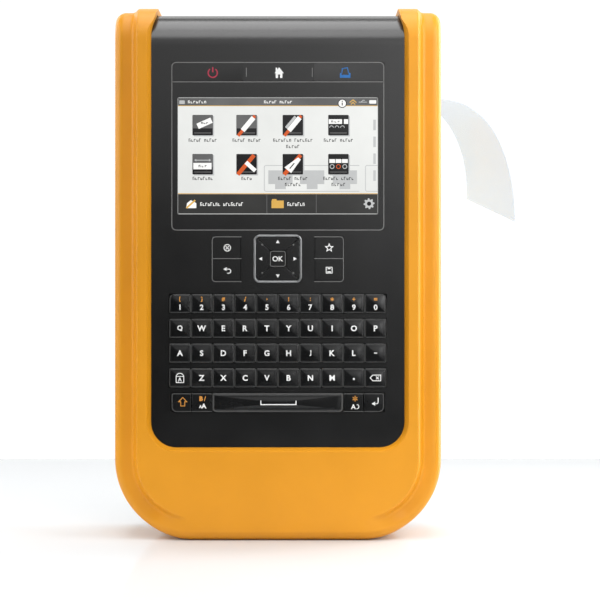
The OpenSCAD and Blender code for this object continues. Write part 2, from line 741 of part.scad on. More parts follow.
// straight-sided teeth: root, flank, tip, flank for each tooth
module gear(p, teeth, turn, bore) {
    rp = teeth * gear_module / 2;
    pitch = 360 / teeth;
    root = rp - 1.15 * gear_module;
    tip = rp + 0.8 * gear_module;
    translate([p[0], p[1], gear_z]) difference() {
        linear_extrude(gear_t) polygon([for (i = [0:teeth - 1], c = [[root, -0.31], [tip, -0.11],
            [tip, 0.11], [root, 0.31]])
            polar(c[0], turn + (i + c[1]) * pitch)]);
        translate([0, 0, -1]) cylinder(h = gear_t + 2, r = bore);
    }
}

// turn of a gear in mesh with another one that lies in direction a from it
function mesh_turn(turn, teeth, a, next) = a + 180 - 360 / next * (0.5 - (a - turn) * teeth / 360);
idler_turn = mesh_turn(0, platen_teeth, -120, idler_teeth);
pinion_turn = mesh_turn(idler_turn, idler_teeth, -30, pinion_teeth);
takeup_turn = mesh_turn(idler_turn, idler_teeth, 180, takeup_teeth);

module print_chassis() color([0.6, 0.62, 0.65]) stand() difference() {
    union() {
        box([-58, cassette_y - 3, chassis_z], [plate_x, head_wall_y + 3.5, chassis_z + chassis_t]);
        box([arm_x0, head_wall_y, arm_z - chassis_t], [arm_x1 - 8, head_wall_y + chassis_t,
            chassis_z + e]);
        box([arm_x0, arm_y0, arm_z - chassis_t], [arm_x1 - 8, head_wall_y + chassis_t, arm_z]);
    }
    for (z = [arm_z - chassis_t - 1, chassis_z - 1]) rod(platen_pos, z, z + 5, platen_shaft_r + 1.5);
    rod(pinion_pos, chassis_z - 1, chassis_z + 3, 2);
    rod(idler_pos, chassis_z - 1, chassis_z + 3, axle_r);
    rod(takeup_pos, chassis_z - 1, chassis_z + 3, spindle_r + running);
}

module print_head() color([0.7, 0.7, 0.7]) stand() {
    box([platen_x - 5, tape_y + 3, tape_z0 - 1], [platen_x + 5, head_wall_y, tape_z0 + tape_w + 1]);
    box([platen_x - 2, tape_y + 0.6, tape_z0], [platen_x + 2, tape_y + 3 + e, tape_z0 + tape_w]);
}

module platen_shaft() color("silver") stand()
    rod(platen_pos, arm_z - chassis_t, gear_z + gear_t + 0.4, platen_shaft_r);

module platen_roller() color([0.15, 0.15, 0.15]) stand() difference() {
    rod(platen_pos, tape_z0 - 0.5, tape_z0 + tape_w + 0.5, platen_r);
    rod(platen_pos, tape_z0 - 2, tape_z0 + tape_w + 2, platen_shaft_r);
}

module platen_bushes() color("tan") stand() for (z = [arm_z - chassis_t, chassis_z]) difference() {
    rod(platen_pos, z, z + chassis_t, platen_shaft_r + 1.5);
    rod(platen_pos, z - 1, z + chassis_t + 1, platen_shaft_r + running);
}

module platen_gear() color("white") stand() gear(platen_pos, platen_teeth, 0, platen_shaft_r);

module feed_motor() color([0.35, 0.35, 0.38]) stand() difference() {
    rod(pinion_pos, chassis_z - motor_l, chassis_z, motor_r);
    rod(pinion_pos, chassis_z - 10, chassis_z + 1, 1 + running);
}

module motor_pinion() color("gold") stand() {
    gear(pinion_pos, pinion_teeth, pinion_turn, 0.9);
    rod(pinion_pos, chassis_z - 9, gear_z + gear_t, 1);
}

module idler_gear() color("white") stand() gear(idler_pos, idler_teeth, idler_turn, axle_r + running);

module idler_axle() color("silver") stand() rod(idler_pos, chassis_z, gear_z + gear_t + 0.4, axle_r);

module takeup_drive() color("white") stand() {
    gear(takeup_pos, takeup_teeth, takeup_turn, spindle_r - 0.1);
    rod(takeup_pos, tape_z0 + 18, gear_z + gear_t, spindle_r);
    for (a = [0:60:120]) translate([takeup_pos[0], takeup_pos[1], tape_z0 + 18]) rotate(a)
        translate([-spline_r, -0.5, 0]) cube([2 * spline_r, 1, chassis_z - 0.3 - tape_z0 - 18]);
}

module cutter_anvil() color("silver") stand()
    box([cut_x, arm_y0 - 2, tape_z0 - 1], [cut_x + 1.2, tape_y - 0.7, chassis_z]);

module cutter_blade() color("silver") stand() {
    box([cut_x + 1.3, tape_y + 1, tape_z0 - 1], [cut_x + 1.3 + blade_t, tape_y + 10,
        tape_z0 + tape_w + 0.5]);
    box([cut_x + 1.3, tape_y + 9, tape_z0 - 1], [cut_x + 2.8, tape_y + 14, tape_z0 + tape_w + 0.5]);
}

// ---- label strip ---------------------------------------------------------

function bezier(p, t) = pow(1 - t, 3) * p[0] + 3 * t * pow(1 - t,
    2) * p[1] + 3 * t * t * (1 - t) * p[2] + pow(t, 3) * p[3];

// front and back edge of the free strip, beyond the bumper: it curls over and twists as it drops
front_edge = [[body_w / 2, tape_y + 0.9], [body_w / 2 + 20, tape_y + 1],
    [body_w / 2 + 36, tape_y - 16], [body_w / 2 + 37.5, tape_y - 58]];
back_edge = [[body_w / 2, tape_y - 0.2], [body_w / 2 + 8, tape_y - 4.5],
    [body_w / 2 + 18, tape_y - 22], [body_w / 2 + 16.5, tape_y - 45.6]];
strip_steps = 20;

// the two edge points of one crossing line of the strip, with the tape's true width between them
function strip_line(i) =
    let (t = i / strip_steps,
        f = i < 0 ? [strip_x, tape_y + 0.5] : bezier(front_edge, t),
        b = i < 0 ? [strip_x, tape_y + 0.5] : bezier(back_edge, t),
        half = sqrt(tape_w * tape_w - (f - b) * (f - b)) / 2)
    [[f[0], f[1], tape_mid + half], [b[0], b[1], tape_mid - half]];

// step across the strip's thickness at line i, from the slope of its edge s there
function lift(lines, i, s) =
    let (a = lines[max(i - 1, 0)][s], b = lines[min(i + 1, len(lines) - 1)][s], d = b - a)
    [-d[1], d[0], 0] * tape_t / norm([d[0], d[1]]);

module label_strip() color([0.92, 0.93, 0.92]) stand() {
    lines = [for (i = [-1:strip_steps]) strip_line(i)];
    n = len(lines);
    pts = [for (i = [0:n - 1]) each [lines[i][0], lines[i][1],
        lines[i][1] + lift(lines, i, 1), lines[i][0] + lift(lines, i, 0)]];
    walls = [for (i = [0:n - 2], j = [0:3]) each
        let (k = (j + 1) % 4, a = 4 * i + j, b = 4 * i + k, c = b + 4, d = a + 4) [[a, b, c], [a,
            c, d]]];
    polyhedron(pts, concat(walls, [[3, 2, 1, 0]], [[for (j = [0:3]) 4 * (n - 1) + j]]));
}

bumper();
front_shell();
screen_bezel();
nav_ring();
rear_shell();
cassette_door();
battery_door();
door_pins();
door_latch();
latch_spring();
label_strip();
usb_port();
dc_jack();
case_screws();
rear_feet();
touch_screen();
display_module();
main_board();
keypad_mat();
battery_pack();
battery_contacts();
cassette_case();
cassette_lid();
tape_roll();
ribbon_supply_spool();
ribbon_takeup_spool();
print_chassis();
print_head();
platen_shaft();
platen_roller();
platen_bushes();
platen_gear();
feed_motor();
motor_pinion();
idler_gear();
idler_axle();
takeup_drive();
cutter_anvil();
cutter_blade();
power_key();
home_key();
print_key();
cancel_key();
back_key();
favourite_key();
save_key();
up_key();
down_key();
left_key();
right_key();
ok_key();
number_keys();
upper_letter_keys();
middle_letter_keys();
lower_letter_keys();
shift_key();
font_key();
space_key();
symbol_key();
enter_key();
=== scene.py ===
import json
import math
import bmesh
import bpy
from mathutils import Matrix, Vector

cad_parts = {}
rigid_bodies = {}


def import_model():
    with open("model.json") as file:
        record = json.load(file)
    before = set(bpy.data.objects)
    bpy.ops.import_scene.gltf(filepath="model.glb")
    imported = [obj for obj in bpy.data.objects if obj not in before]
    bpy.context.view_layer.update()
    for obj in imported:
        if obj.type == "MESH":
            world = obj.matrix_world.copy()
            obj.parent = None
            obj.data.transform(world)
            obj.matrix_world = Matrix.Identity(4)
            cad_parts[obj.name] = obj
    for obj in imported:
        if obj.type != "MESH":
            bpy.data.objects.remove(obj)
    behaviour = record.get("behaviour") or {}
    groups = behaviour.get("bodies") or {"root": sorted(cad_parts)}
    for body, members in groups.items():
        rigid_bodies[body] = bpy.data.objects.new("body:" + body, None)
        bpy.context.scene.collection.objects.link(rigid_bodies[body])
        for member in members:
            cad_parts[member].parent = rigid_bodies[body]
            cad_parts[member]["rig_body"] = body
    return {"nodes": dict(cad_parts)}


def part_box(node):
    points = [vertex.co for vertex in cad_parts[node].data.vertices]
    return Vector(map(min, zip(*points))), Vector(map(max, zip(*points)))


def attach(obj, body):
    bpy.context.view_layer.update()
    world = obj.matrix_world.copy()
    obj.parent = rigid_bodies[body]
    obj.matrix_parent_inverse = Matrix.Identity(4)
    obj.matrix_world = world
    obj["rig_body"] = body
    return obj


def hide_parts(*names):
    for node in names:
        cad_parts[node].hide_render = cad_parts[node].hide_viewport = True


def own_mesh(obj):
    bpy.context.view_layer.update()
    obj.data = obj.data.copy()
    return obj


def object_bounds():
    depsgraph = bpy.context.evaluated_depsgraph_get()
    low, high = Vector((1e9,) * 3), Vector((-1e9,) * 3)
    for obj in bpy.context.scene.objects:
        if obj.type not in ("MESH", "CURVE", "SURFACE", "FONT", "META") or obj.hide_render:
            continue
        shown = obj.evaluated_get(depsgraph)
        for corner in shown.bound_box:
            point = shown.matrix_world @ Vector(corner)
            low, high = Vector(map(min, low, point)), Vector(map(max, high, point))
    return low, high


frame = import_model()
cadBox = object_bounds()
scene = bpy.context.scene
print("frame loaded:", len(frame["nodes"]), "nodes")


# small tools: sizes are millimetres across, up, and out to the front

def at(x, up, out):
    return Vector((x, -out, up)) * 0.001


def span(node):
    low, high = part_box(node)
    return {"left": low.x * 1000, "right": high.x * 1000, "bottom": low.z * 1000, "top": high.z * 1000,
            "rear": -high.y * 1000, "front": -low.y * 1000,
            "x": (low.x + high.x) * 500, "up": (low.z + high.z) * 500}


def newPiece(name, corners, faces):
    mesh = bpy.data.meshes.new(name)
    mesh.from_pydata([tuple(c) for c in corners], [], faces)
    piece = bpy.data.objects.new(name, mesh)
    scene.collection.objects.link(piece)
    return piece


def tidyMesh(piece, flatten=0.0, turnOut=True):
    work = bmesh.new()
    work.from_mesh(piece.data)
    bmesh.ops.remove_doubles(work, verts=work.verts, dist=2e-6)
    bmesh.ops.dissolve_degenerate(work, dist=1e-6, edges=work.edges)
    if flatten:
        bmesh.ops.dissolve_limit(work, angle_limit=math.radians(flatten), verts=work.verts, edges=work.edges)
    if turnOut:
        bmesh.ops.recalc_face_normals(work, faces=work.faces)
    work.to_mesh(piece.data)
    work.free()
    return piece


def bake(piece):
    live = piece.evaluated_get(bpy.context.evaluated_depsgraph_get())
    mesh = bpy.data.meshes.new_from_object(live)
    piece.modifiers.clear()
    piece.data = mesh
    return piece


def smooth(piece, angle=32):
    piece.data.shade_smooth()
    piece.data.set_sharp_from_angle(angle=math.radians(angle))
    weighted = piece.modifiers.new("weighted", "WEIGHTED_NORMAL")
    weighted.keep_sharp = True
    return bake(piece)


def soften(piece, edge=0.3, angle=35, segments=2):
    bevel = piece.modifiers.new("edge", "BEVEL")
    bevel.width = edge * 0.001
    bevel.segments = segments
    bevel.limit_method = "ANGLE"
    bevel.angle_limit = math.radians(angle)
    bevel.use_clamp_overlap = True
    return bake(piece)


def carve(piece, cutter):
    cut = piece.modifiers.new("cut", "BOOLEAN")
    cut.operation = "DIFFERENCE"
    cut.solver = "EXACT"
    cut.object = cutter
    bake(piece)
    bpy.data.objects.remove(cutter)
    return piece


def fit(piece, body, slotName, material, *nodes):
    piece.data.materials.clear()
    piece.data.materials.append(material)
    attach(piece, body)
    if nodes:
        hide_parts(*nodes)
    return piece


def bodyOf(node):
    return frame["nodes"][node]["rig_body"]


# corner list (u, v, radius) to a line with rounded corners
def filletLine(corners, closed=False, steps=5):
    line = []
    for i, (u, v, radius) in enumerate(corners):
        here = Vector((u, v))
        if radius <= 0 or (not closed and i in (0, len(corners) - 1)):
            line.append(here)
            continue
        back = Vector(corners[i - 1][:2]) - here
        ahead = Vector(corners[(i + 1) % len(corners)][:2]) - here
        half = back.angle(ahead) / 2
        reach = min(radius / math.tan(half), back.length * 0.49, ahead.length * 0.49)
        rad = reach * math.tan(half)
        middle = here + (back.normalized() + ahead.normalized()).normalized() * rad / math.sin(half)
        first, last = here + back.normalized() * reach - middle, here + ahead.normalized() * reach - middle
        turn = math.atan2(first.x * last.y - first.y * last.x, first.dot(last))
        for k in range(steps + 1):
            a = turn * k / steps
            line.append(middle + Vector((first.x * math.cos(a) - first.y * math.sin(a),
                                         first.x * math.sin(a) + first.y * math.cos(a))))
    return line


def roundRect(left, bottom, right, top, radii, steps=5):
    if not isinstance(radii, (list, tuple)):
        radii = [radii] * 4
    return filletLine([(left, bottom, radii[0]), (right, bottom, radii[1]),
                       (right, top, radii[2]), (left, top, radii[3])], closed=True, steps=steps)


# faces between rings of corners, each ring closed on itself
def ringFaces(rings, count, looped=False):
    return [(r * count + i, r * count + (i + 1) % count, (r + 1) % rings * count + (i + 1) % count,
             (r + 1) % rings * count + i) for r in range(rings if looped else rings - 1) for i in range(count)]


# faces between open rows of corners
def gridFaces(rows, count, first=0):
    return [(first + r * count + i, first + r * count + i + 1, first + (r + 1) * count + i + 1,
             first + (r + 1) * count + i) for r in range(rows - 1) for i in range(count - 1)]


def capEnds(rings, count):
    return [tuple(range(count)), tuple(range((rings - 1) * count, rings * count))]


def loft(name, rings):
    count = len(rings[0][0])
    corners = [at(p[0], p[1], out) for line, out in rings for p in line]
    return tidyMesh(newPiece(name, corners, ringFaces(len(rings), count) + capEnds(len(rings), count)))


def blockCutter(left, right, bottom, top, rear, front, radius=0.0):
    ring = roundRect(left, bottom, right, top, radius)
    return loft("cutter", [(ring, rear), (ring, front)])


# finishes

def makeFinish(name, colour, rough, grain=0.5, grainDepth=0.01, mottle=0.05, mottleSize=16, spread=0.05,
               metal=0.0, coat=0.0, coatRough=0.08, specular=0.5, stretch=(1, 1, 1), pebble=False, soft=0.0,
               glow=0.0, warmth=0.0, alpha=1.0):
    material = bpy.data.materials.new(name)
    material.use_nodes = True
    nodes, links = material.node_tree.nodes, material.node_tree.links
    nodes.clear()
    output = nodes.new("ShaderNodeOutputMaterial")
    shader = nodes.new("ShaderNodeBsdfPrincipled")
    links.new(shader.outputs["BSDF"], output.inputs["Surface"])
    where = nodes.new("ShaderNodeTexCoord")
    placed = nodes.new("ShaderNodeMapping")
    placed.inputs["Scale"].default_value = stretch
    links.new(where.outputs["Object"], placed.inputs["Vector"])
    broad = nodes.new("ShaderNodeTexNoise")
    broad.inputs["Scale"].default_value = 1000 / mottleSize
    broad.inputs["Detail"].default_value = 5
    links.new(placed.outputs["Vector"], broad.inputs["Vector"])
    fine = nodes.new("ShaderNodeTexVoronoi" if pebble else "ShaderNodeTexNoise")
    fine.inputs["Scale"].default_value = 1000 / grain
    links.new(placed.outputs["Vector"], fine.inputs["Vector"])
    fineOut = fine.outputs["Distance"] if pebble else fine.outputs["Fac"]
    tint = nodes.new("ShaderNodeValToRGB")
    tint.color_ramp.elements[0].position = 0.3
    tint.color_ramp.elements[1].position = 0.7
    dark = [c * (1 - mottle) for c in colour]
    light = [min(1, c * (1 + mottle) + warmth * k) for c, k in zip(colour, (0.02, 0.012, 0.0))]
    tint.color_ramp.elements[0].color = (*dark, 1)
    tint.color_ramp.elements[1].color = (*light, 1)
    links.new(broad.outputs["Fac"], tint.inputs["Fac"])
    links.new(tint.outputs["Color"], shader.inputs["Base Color"])
    polish = nodes.new("ShaderNodeMapRange")
    polish.inputs["From Min"].default_value = 0.25
    polish.inputs["From Max"].default_value = 0.75
    polish.inputs["To Min"].default_value = max(0.02, rough - spread)
    polish.inputs["To Max"].default_value = min(1, rough + spread)
    links.new(broad.outputs["Fac"], polish.inputs["Value"])
    links.new(polish.outputs["Result"], shader.inputs["Roughness"])
    bump = nodes.new("ShaderNodeBump")
    bump.inputs["Strength"].default_value = 0.6
    bump.inputs["Distance"].default_value = grainDepth * 0.001
    links.new(fineOut, bump.inputs["Height"])
    links.new(bump.outputs["Normal"], shader.inputs["Normal"])
    for label, value in (("Metallic", metal), ("Coat Weight", coat), ("Coat Roughness", coatRough),
                         ("Specular IOR Level", specular), ("Alpha", alpha)):
        shader.inputs[label].default_value = value
    if soft:
        shader.inputs["Subsurface Weight"].default_value = soft
        shader.inputs["Subsurface Radius"].default_value = (0.004, 0.003, 0.002)
        shader.inputs["Subsurface Scale"].default_value = 0.5
    if glow:   # a lit display: little of the room's light, most of its own
        links.new(tint.outputs["Color"], shader.inputs["Emission Color"])
        shader.inputs["Emission Strength"].default_value = glow
        dim = nodes.new("ShaderNodeVectorMath")
        dim.operation = "SCALE"
        dim.inputs["Scale"].default_value = 0.12
        links.new(tint.outputs["Color"], dim.inputs[0])
        links.new(dim.outputs["Vector"], shader.inputs["Base Color"])
    return material


finish = {
    "bumper_rubber": makeFinish("bumperRubber", (0.75, 0.305, 0.008), 0.42, grain=0.55, grainDepth=0.012,
                                mottle=0.03, mottleSize=30, spread=0.04, specular=0.42, warmth=0.4),
    "casing_plastic": makeFinish("casingPlastic", (0.0028, 0.0029, 0.0030), 0.25, grain=0.3, grainDepth=0.003,
                                 mottle=0.10, mottleSize=22, spread=0.02, specular=0.85),
    "rear_plastic": makeFinish("rearPlastic", (0.018, 0.018, 0.019), 0.52, grain=0.7, grainDepth=0.03,
                               mottle=0.10, mottleSize=22, spread=0.05, pebble=True),
    "bezel_gloss": makeFinish("bezelGloss", (0.0028, 0.0029, 0.0030), 0.245, grain=0.25, grainDepth=0.002,
                              mottle=0.08, mottleSize=25, spread=0.02, specular=0.85),
    "key_gloss": makeFinish("keyGloss", (0.0030, 0.0032, 0.0035), 0.26, grain=0.25, grainDepth=0.002,
                            mottle=0.10, mottleSize=12, spread=0.04, coat=0.25, coatRough=0.16),
    "trim_silver": makeFinish("trimSilver", (0.30, 0.305, 0.31), 0.32, grain=0.2, grainDepth=0.003, mottle=0.05,
                              mottleSize=9, spread=0.05, metal=0.85, stretch=(1, 1, 6)),
    "screen_glass": makeFinish("screenPaper", (0.77, 0.78, 0.76), 0.20, grain=0.3, grainDepth=0.0, mottle=0.07,
                               mottleSize=34, spread=0.02, glow=0.95),
    "display_metal": makeFinish("displayMetal", (0.40, 0.41, 0.42), 0.34, grain=0.3, grainDepth=0.004,
                                mottle=0.06, mottleSize=14, metal=1.0, stretch=(8, 1, 1)),
    "board_green": makeFinish("boardGreen", (0.012, 0.10, 0.045), 0.36, grain=0.7, grainDepth=0.01, mottle=0.25,
                              mottleSize=5, coat=0.4),
    "mat_rubber": makeFinish("matRubber", (0.22, 0.22, 0.215), 0.62, grain=0.6, grainDepth=0.01, mottle=0.05,
                             mottleSize=12, soft=0.1),
    "battery_wrap": makeFinish("batteryWrap", (0.05, 0.055, 0.07), 0.40, grain=1.2, grainDepth=0.02, mottle=0.12,
                               mottleSize=18, coat=0.3),
    "contact_brass": makeFinish("contactBrass", (0.72, 0.52, 0.22), 0.25, grain=0.2, grainDepth=0.003,
                                mottle=0.10, mottleSize=4, metal=1.0),
    "cassette_plastic": makeFinish("cassettePlastic", (0.62, 0.61, 0.56), 0.44, grain=0.5, grainDepth=0.012,
                                   mottle=0.04, mottleSize=20, soft=0.15),
    "label_tape": makeFinish("labelTape", (0.86, 0.87, 0.87), 0.34, grain=0.8, grainDepth=0.004, mottle=0.015,
                             mottleSize=30, soft=0.1, coat=0.2),
    "ribbon_film": makeFinish("ribbonFilm", (0.012, 0.011, 0.014), 0.20, grain=0.3, grainDepth=0.004, mottle=0.15,
                              mottleSize=8, stretch=(1, 9, 1)),
    "steel_plate": makeFinish("steelPlate", (0.47, 0.475, 0.48), 0.36, grain=0.3, grainDepth=0.005, mottle=0.08,
                              mottleSize=10, metal=1.0, stretch=(1, 6, 1)),
    "steel_bright": makeFinish("steelBright", (0.62, 0.62, 0.63), 0.20, grain=0.25, grainDepth=0.003,
                               mottle=0.06, mottleSize=6, metal=1.0, stretch=(6, 1, 1)),
    "head_ceramic": makeFinish("headCeramic", (0.35, 0.30, 0.24), 0.30, grain=0.4, grainDepth=0.006, mottle=0.08,
                               mottleSize=7),
    "platen_rubber": makeFinish("platenRubber", (0.025, 0.024, 0.023), 0.70, grain=0.4, grainDepth=0.02,
                                mottle=0.10, mottleSize=8),
    "bush_bronze": makeFinish("bushBronze", (0.45, 0.27, 0.12), 0.38, grain=0.2, grainDepth=0.006, mottle=0.12,
                              mottleSize=3, metal=1.0),
    "gear_white": makeFinish("gearWhite", (0.74, 0.73, 0.69), 0.42, grain=0.4, grainDepth=0.006, mottle=0.04,
                             mottleSize=6, soft=0.2),
    "motor_can": makeFinish("motorCan", (0.42, 0.42, 0.43), 0.28, grain=0.3, grainDepth=0.004, mottle=0.05,
                            mottleSize=8, metal=1.0, stretch=(1, 8, 1)),
    "foot_rubber": makeFinish("footRubber", (0.016, 0.016, 0.016), 0.78, grain=0.5, grainDepth=0.03, mottle=0.12,
                              mottleSize=6),
    "socket_metal": makeFinish("socketMetal", (0.52, 0.52, 0.53), 0.26, grain=0.2, grainDepth=0.003, mottle=0.06,
                               mottleSize=5, metal=1.0),
    "socket_black": makeFinish("socketBlack", (0.014, 0.014, 0.015), 0.45, grain=0.4, grainDepth=0.01,
                               mottle=0.10, mottleSize=6),
}

inks = {
    # the label film's base is tinted blue to cancel the orange light bounced onto it from the bumper: painted
    # counter-light, since the real film is clear and colourless
    "stripFilm": makeFinish("stripFilm", (0.38, 0.68, 0.98), 0.24, grain=0.8, grainDepth=0.003, mottle=0.01,
                            mottleSize=30, coat=0.3, alpha=0.20),
    "lineGrey": makeFinish("lineGrey", (0.16, 0.16, 0.157), 0.5, grain=0.3, mottle=0.06, mottleSize=8),
    "rimGrey": makeFinish("rimGrey", (0.060, 0.060, 0.059), 0.45, grain=0.3, mottle=0.06, mottleSize=8),
    "white": makeFinish("legendWhite", (0.86, 0.86, 0.85), 0.5, grain=0.3, mottle=0.04, mottleSize=5),
    "orange": makeFinish("legendOrange", (0.66, 0.28, 0.045), 0.5, grain=0.3, mottle=0.05, mottleSize=5),
    "crimson": makeFinish("legendCrimson", (0.42, 0.025, 0.06), 0.5, grain=0.3, mottle=0.05, mottleSize=5),
    "blue": makeFinish("legendBlue", (0.012, 0.14, 0.42), 0.5, grain=0.3, mottle=0.05, mottleSize=5),
    "screenGrey": makeFinish("screenGrey", (0.12, 0.12, 0.12), 0.2, grain=0.3, grainDepth=0, mottle=0.2,
                             mottleSize=20, glow=0.95),
    "screenDark": makeFinish("screenDark", (0.008, 0.008, 0.009), 0.2, grain=0.3, grainDepth=0, mottle=0.4,
                             mottleSize=14, glow=0.9),
    "screenFoot": makeFinish("screenFoot", (0.034, 0.034, 0.033), 0.2, grain=0.3, grainDepth=0, mottle=0.12,
                             mottleSize=24, glow=0.95),
    "screenPale": makeFinish("screenPale", (0.52, 0.53, 0.53), 0.2, grain=0.3, grainDepth=0, mottle=0.05,
                             mottleSize=20, glow=0.95),
    "screenWhite": makeFinish("screenWhite", (0.90, 0.90, 0.88), 0.2, grain=0.3, grainDepth=0, mottle=0.03,
                              mottleSize=20, glow=1.0),
    "screenAmber": makeFinish("screenAmber", (0.75, 0.44, 0.10), 0.2, grain=0.3, grainDepth=0, mottle=0.06,
                              mottleSize=12, glow=0.9),
    "screenOrange": makeFinish("screenOrange", (0.72, 0.11, 0.02), 0.2, grain=0.3, grainDepth=0, mottle=0.08,
                               mottleSize=9, glow=0.85),
}
inkSlot = {"white": "gear_white", "orange": "bumper_rubber", "crimson": "bumper_rubber", "blue": "bumper_rubber",
           "lineGrey": "trim_silver", "rimGrey": "trim_silver"}
print("finishes:", len(finish) + len(inks))


# copies on points

def copyTree():
    tree = bpy.data.node_groups.new("copiesOnPoints", "GeometryNodeTree")
    sockets = {}
    for label, kind in (("Points", "NodeSocketGeometry"), ("Shape", "NodeSocketObject"),
                        ("Size", "NodeSocketFloat"), ("Finish", "NodeSocketMaterial")):
        sockets[label] = tree.interface.new_socket(name=label, in_out="INPUT", socket_type=kind).identifier
    tree.interface.new_socket(name="Copies", in_out="OUTPUT", socket_type="NodeSocketGeometry")
    start, end = tree.nodes.new("NodeGroupInput"), tree.nodes.new("NodeGroupOutput")
    shape = tree.nodes.new("GeometryNodeObjectInfo")
    place = tree.nodes.new("GeometryNodeInstanceOnPoints")
    solid = tree.nodes.new("GeometryNodeRealizeInstances")
    paint = tree.nodes.new("GeometryNodeSetMaterial")
    join = tree.links.new
    join(start.outputs["Shape"], shape.inputs["Object"])
    join(start.outputs["Points"], place.inputs["Points"])
    join(shape.outputs["Geometry"], place.inputs["Instance"])
    join(start.outputs["Size"], place.inputs["Scale"])
    join(place.outputs["Instances"], solid.inputs["Geometry"])
    join(solid.outputs["Geometry"], paint.inputs["Geometry"])
    join(start.outputs["Finish"], paint.inputs["Material"])
    join(paint.outputs["Geometry"], end.inputs["Copies"])
    return tree, sockets


pointTree, pointSockets = copyTree()


def copies(name, shape, places, material, size=1.0):
    piece = newPiece(name, places, [])
    spread = piece.modifiers.new("copies", "NODES")
    spread.node_group = pointTree
    spread[pointSockets["Shape"]] = shape
    spread[pointSockets["Size"]] = size
    spread[pointSockets["Finish"]] = material
    return bake(piece)


def merge(name, pieces):
    work = bmesh.new()
    for piece in pieces:
        work.from_mesh(piece.data)
    mesh = bpy.data.meshes.new(name)
    work.to_mesh(mesh)
    work.free()
    for piece in pieces:
        bpy.data.objects.remove(piece)
    made = bpy.data.objects.new(name, mesh)
    scene.collection.objects.link(made)
    return made


# printed marks: flat shapes a few hundredths thick

def drawing():
    return {"corners": [], "faces": []}


def addPrism(sheet, outline, out, thick=0.04, lift=None):
    base, count = len(sheet["corners"]), len(outline)
    for level in (0, thick):
        for p in outline:
            sheet["corners"].append(at(p[0], p[1], out + level + (lift(p[0], p[1]) if lift else 0)))
    sheet["faces"].append(tuple(base + count + i for i in range(count)))
    sheet["faces"].append(tuple(base + i for i in reversed(range(count))))
    for i in range(count):
        j = (i + 1) % count
        sheet["faces"].append((base + i, base + j, base + count + j, base + count + i))


def addStroke(sheet, line, width, out, thick=0.04, closed=False, lift=None):
    points = [Vector(p[:2]) for p in line]
    count = len(points)
    left, right = [], []
    for i, p in enumerate(points):
        a = points[i - 1] if closed or i else p
        b = points[(i + 1) % count] if closed or i < count - 1 else p
        d1 = (p - a).normalized() if (p - a).length > 1e-9 else (b - p).normalized()
        d2 = (b - p).normalized() if (b - p).length > 1e-9 else d1
        n1, n2 = Vector((-d1.y, d1.x)), Vector((-d2.y, d2.x))
        n = (n1 + n2).normalized()
        n /= max(0.35, n.dot(n1))
        left.append(p + n * width / 2)
        right.append(p - n * width / 2)
    base = len(sheet["corners"])
    for level in (0, thick):
        for side in (left, right):
            for p in side:
                sheet["corners"].append(at(p.x, p.y, out + level + (lift(p.x, p.y) if lift else 0)))
    lowL, lowR, highL, highR = (base + count * k for k in range(4))
    for i in range(count if closed else count - 1):
        j = (i + 1) % count
        sheet["faces"] += [(highL + i, highL + j, highR + j, highR + i), (lowL + j, lowL + i, lowR + i, lowR + j),
                           (lowL + i, lowL + j, highL + j, highL + i), (lowR + j, lowR + i, highR + i, highR + j)]
    if not closed:
        for i in (0, count - 1):
            sheet["faces"].append((lowL + i, highL + i, highR + i, lowR + i))


def addText(sheet, text, x, up, height, out, thick=0.04, weight=0.018, lift=None, widthScale=1.0):
    curve = bpy.data.curves.new("letter", "FONT")
    curve.body = text
    curve.size = 1
    curve.offset = weight
    curve.resolution_u = 4
    curve.extrude = 0.5
    letter = bpy.data.objects.new("letter", curve)
    scene.collection.objects.link(letter)
    mesh = bpy.data.meshes.new_from_object(letter.evaluated_get(bpy.context.evaluated_depsgraph_get()))
    bpy.data.objects.remove(letter)
    xs = [v.co.x for v in mesh.vertices]
    ys = [v.co.y for v in mesh.vertices]
    scale = height / (max(ys) - min(ys))
    midX, midY = (max(xs) + min(xs)) / 2, (max(ys) + min(ys)) / 2
    base = len(sheet["corners"])
    for v in mesh.vertices:
        px, pu = x + (v.co.x - midX) * scale * widthScale, up + (v.co.y - midY) * scale
        sheet["corners"].append(at(px, pu, out + (v.co.z + 0.5) * thick + (lift(px, pu) if lift else 0)))
    sheet["faces"] += [tuple(base + i for i in p.vertices) for p in mesh.polygons]
    bpy.data.meshes.remove(mesh)


def addStar(sheet, x, up, reach, width, out, lift=None):
    for turn in (90, 30, -30):
        c, s = reach * math.cos(math.radians(turn)), reach * math.sin(math.radians(turn))
        addStroke(sheet, [(x - c, up - s), (x + c, up + s)], width, out, lift=lift)


def printSheet(name, sheet, body, slotName, material):
    piece = tidyMesh(newPiece(name, sheet["corners"], sheet["faces"]))
    return fit(piece, body, slotName, material)


# a drawing printed on the piece it moves with
def printOn(node, ending, sheet, ink):
    return printSheet(node + ending, sheet, bodyOf(node), inkSlot[ink], inks[ink])


def arc(x, up, radius, start, end, steps=14, squashUp=1.0):
    return [Vector((x + radius * math.cos(math.radians(start + (end - start) * k / steps)),
                    up + squashUp * radius * math.sin(math.radians(start + (end - start) * k / steps))))
            for k in range(steps + 1)]


# bumper: one section swept up both arms, round the corners and over the horns

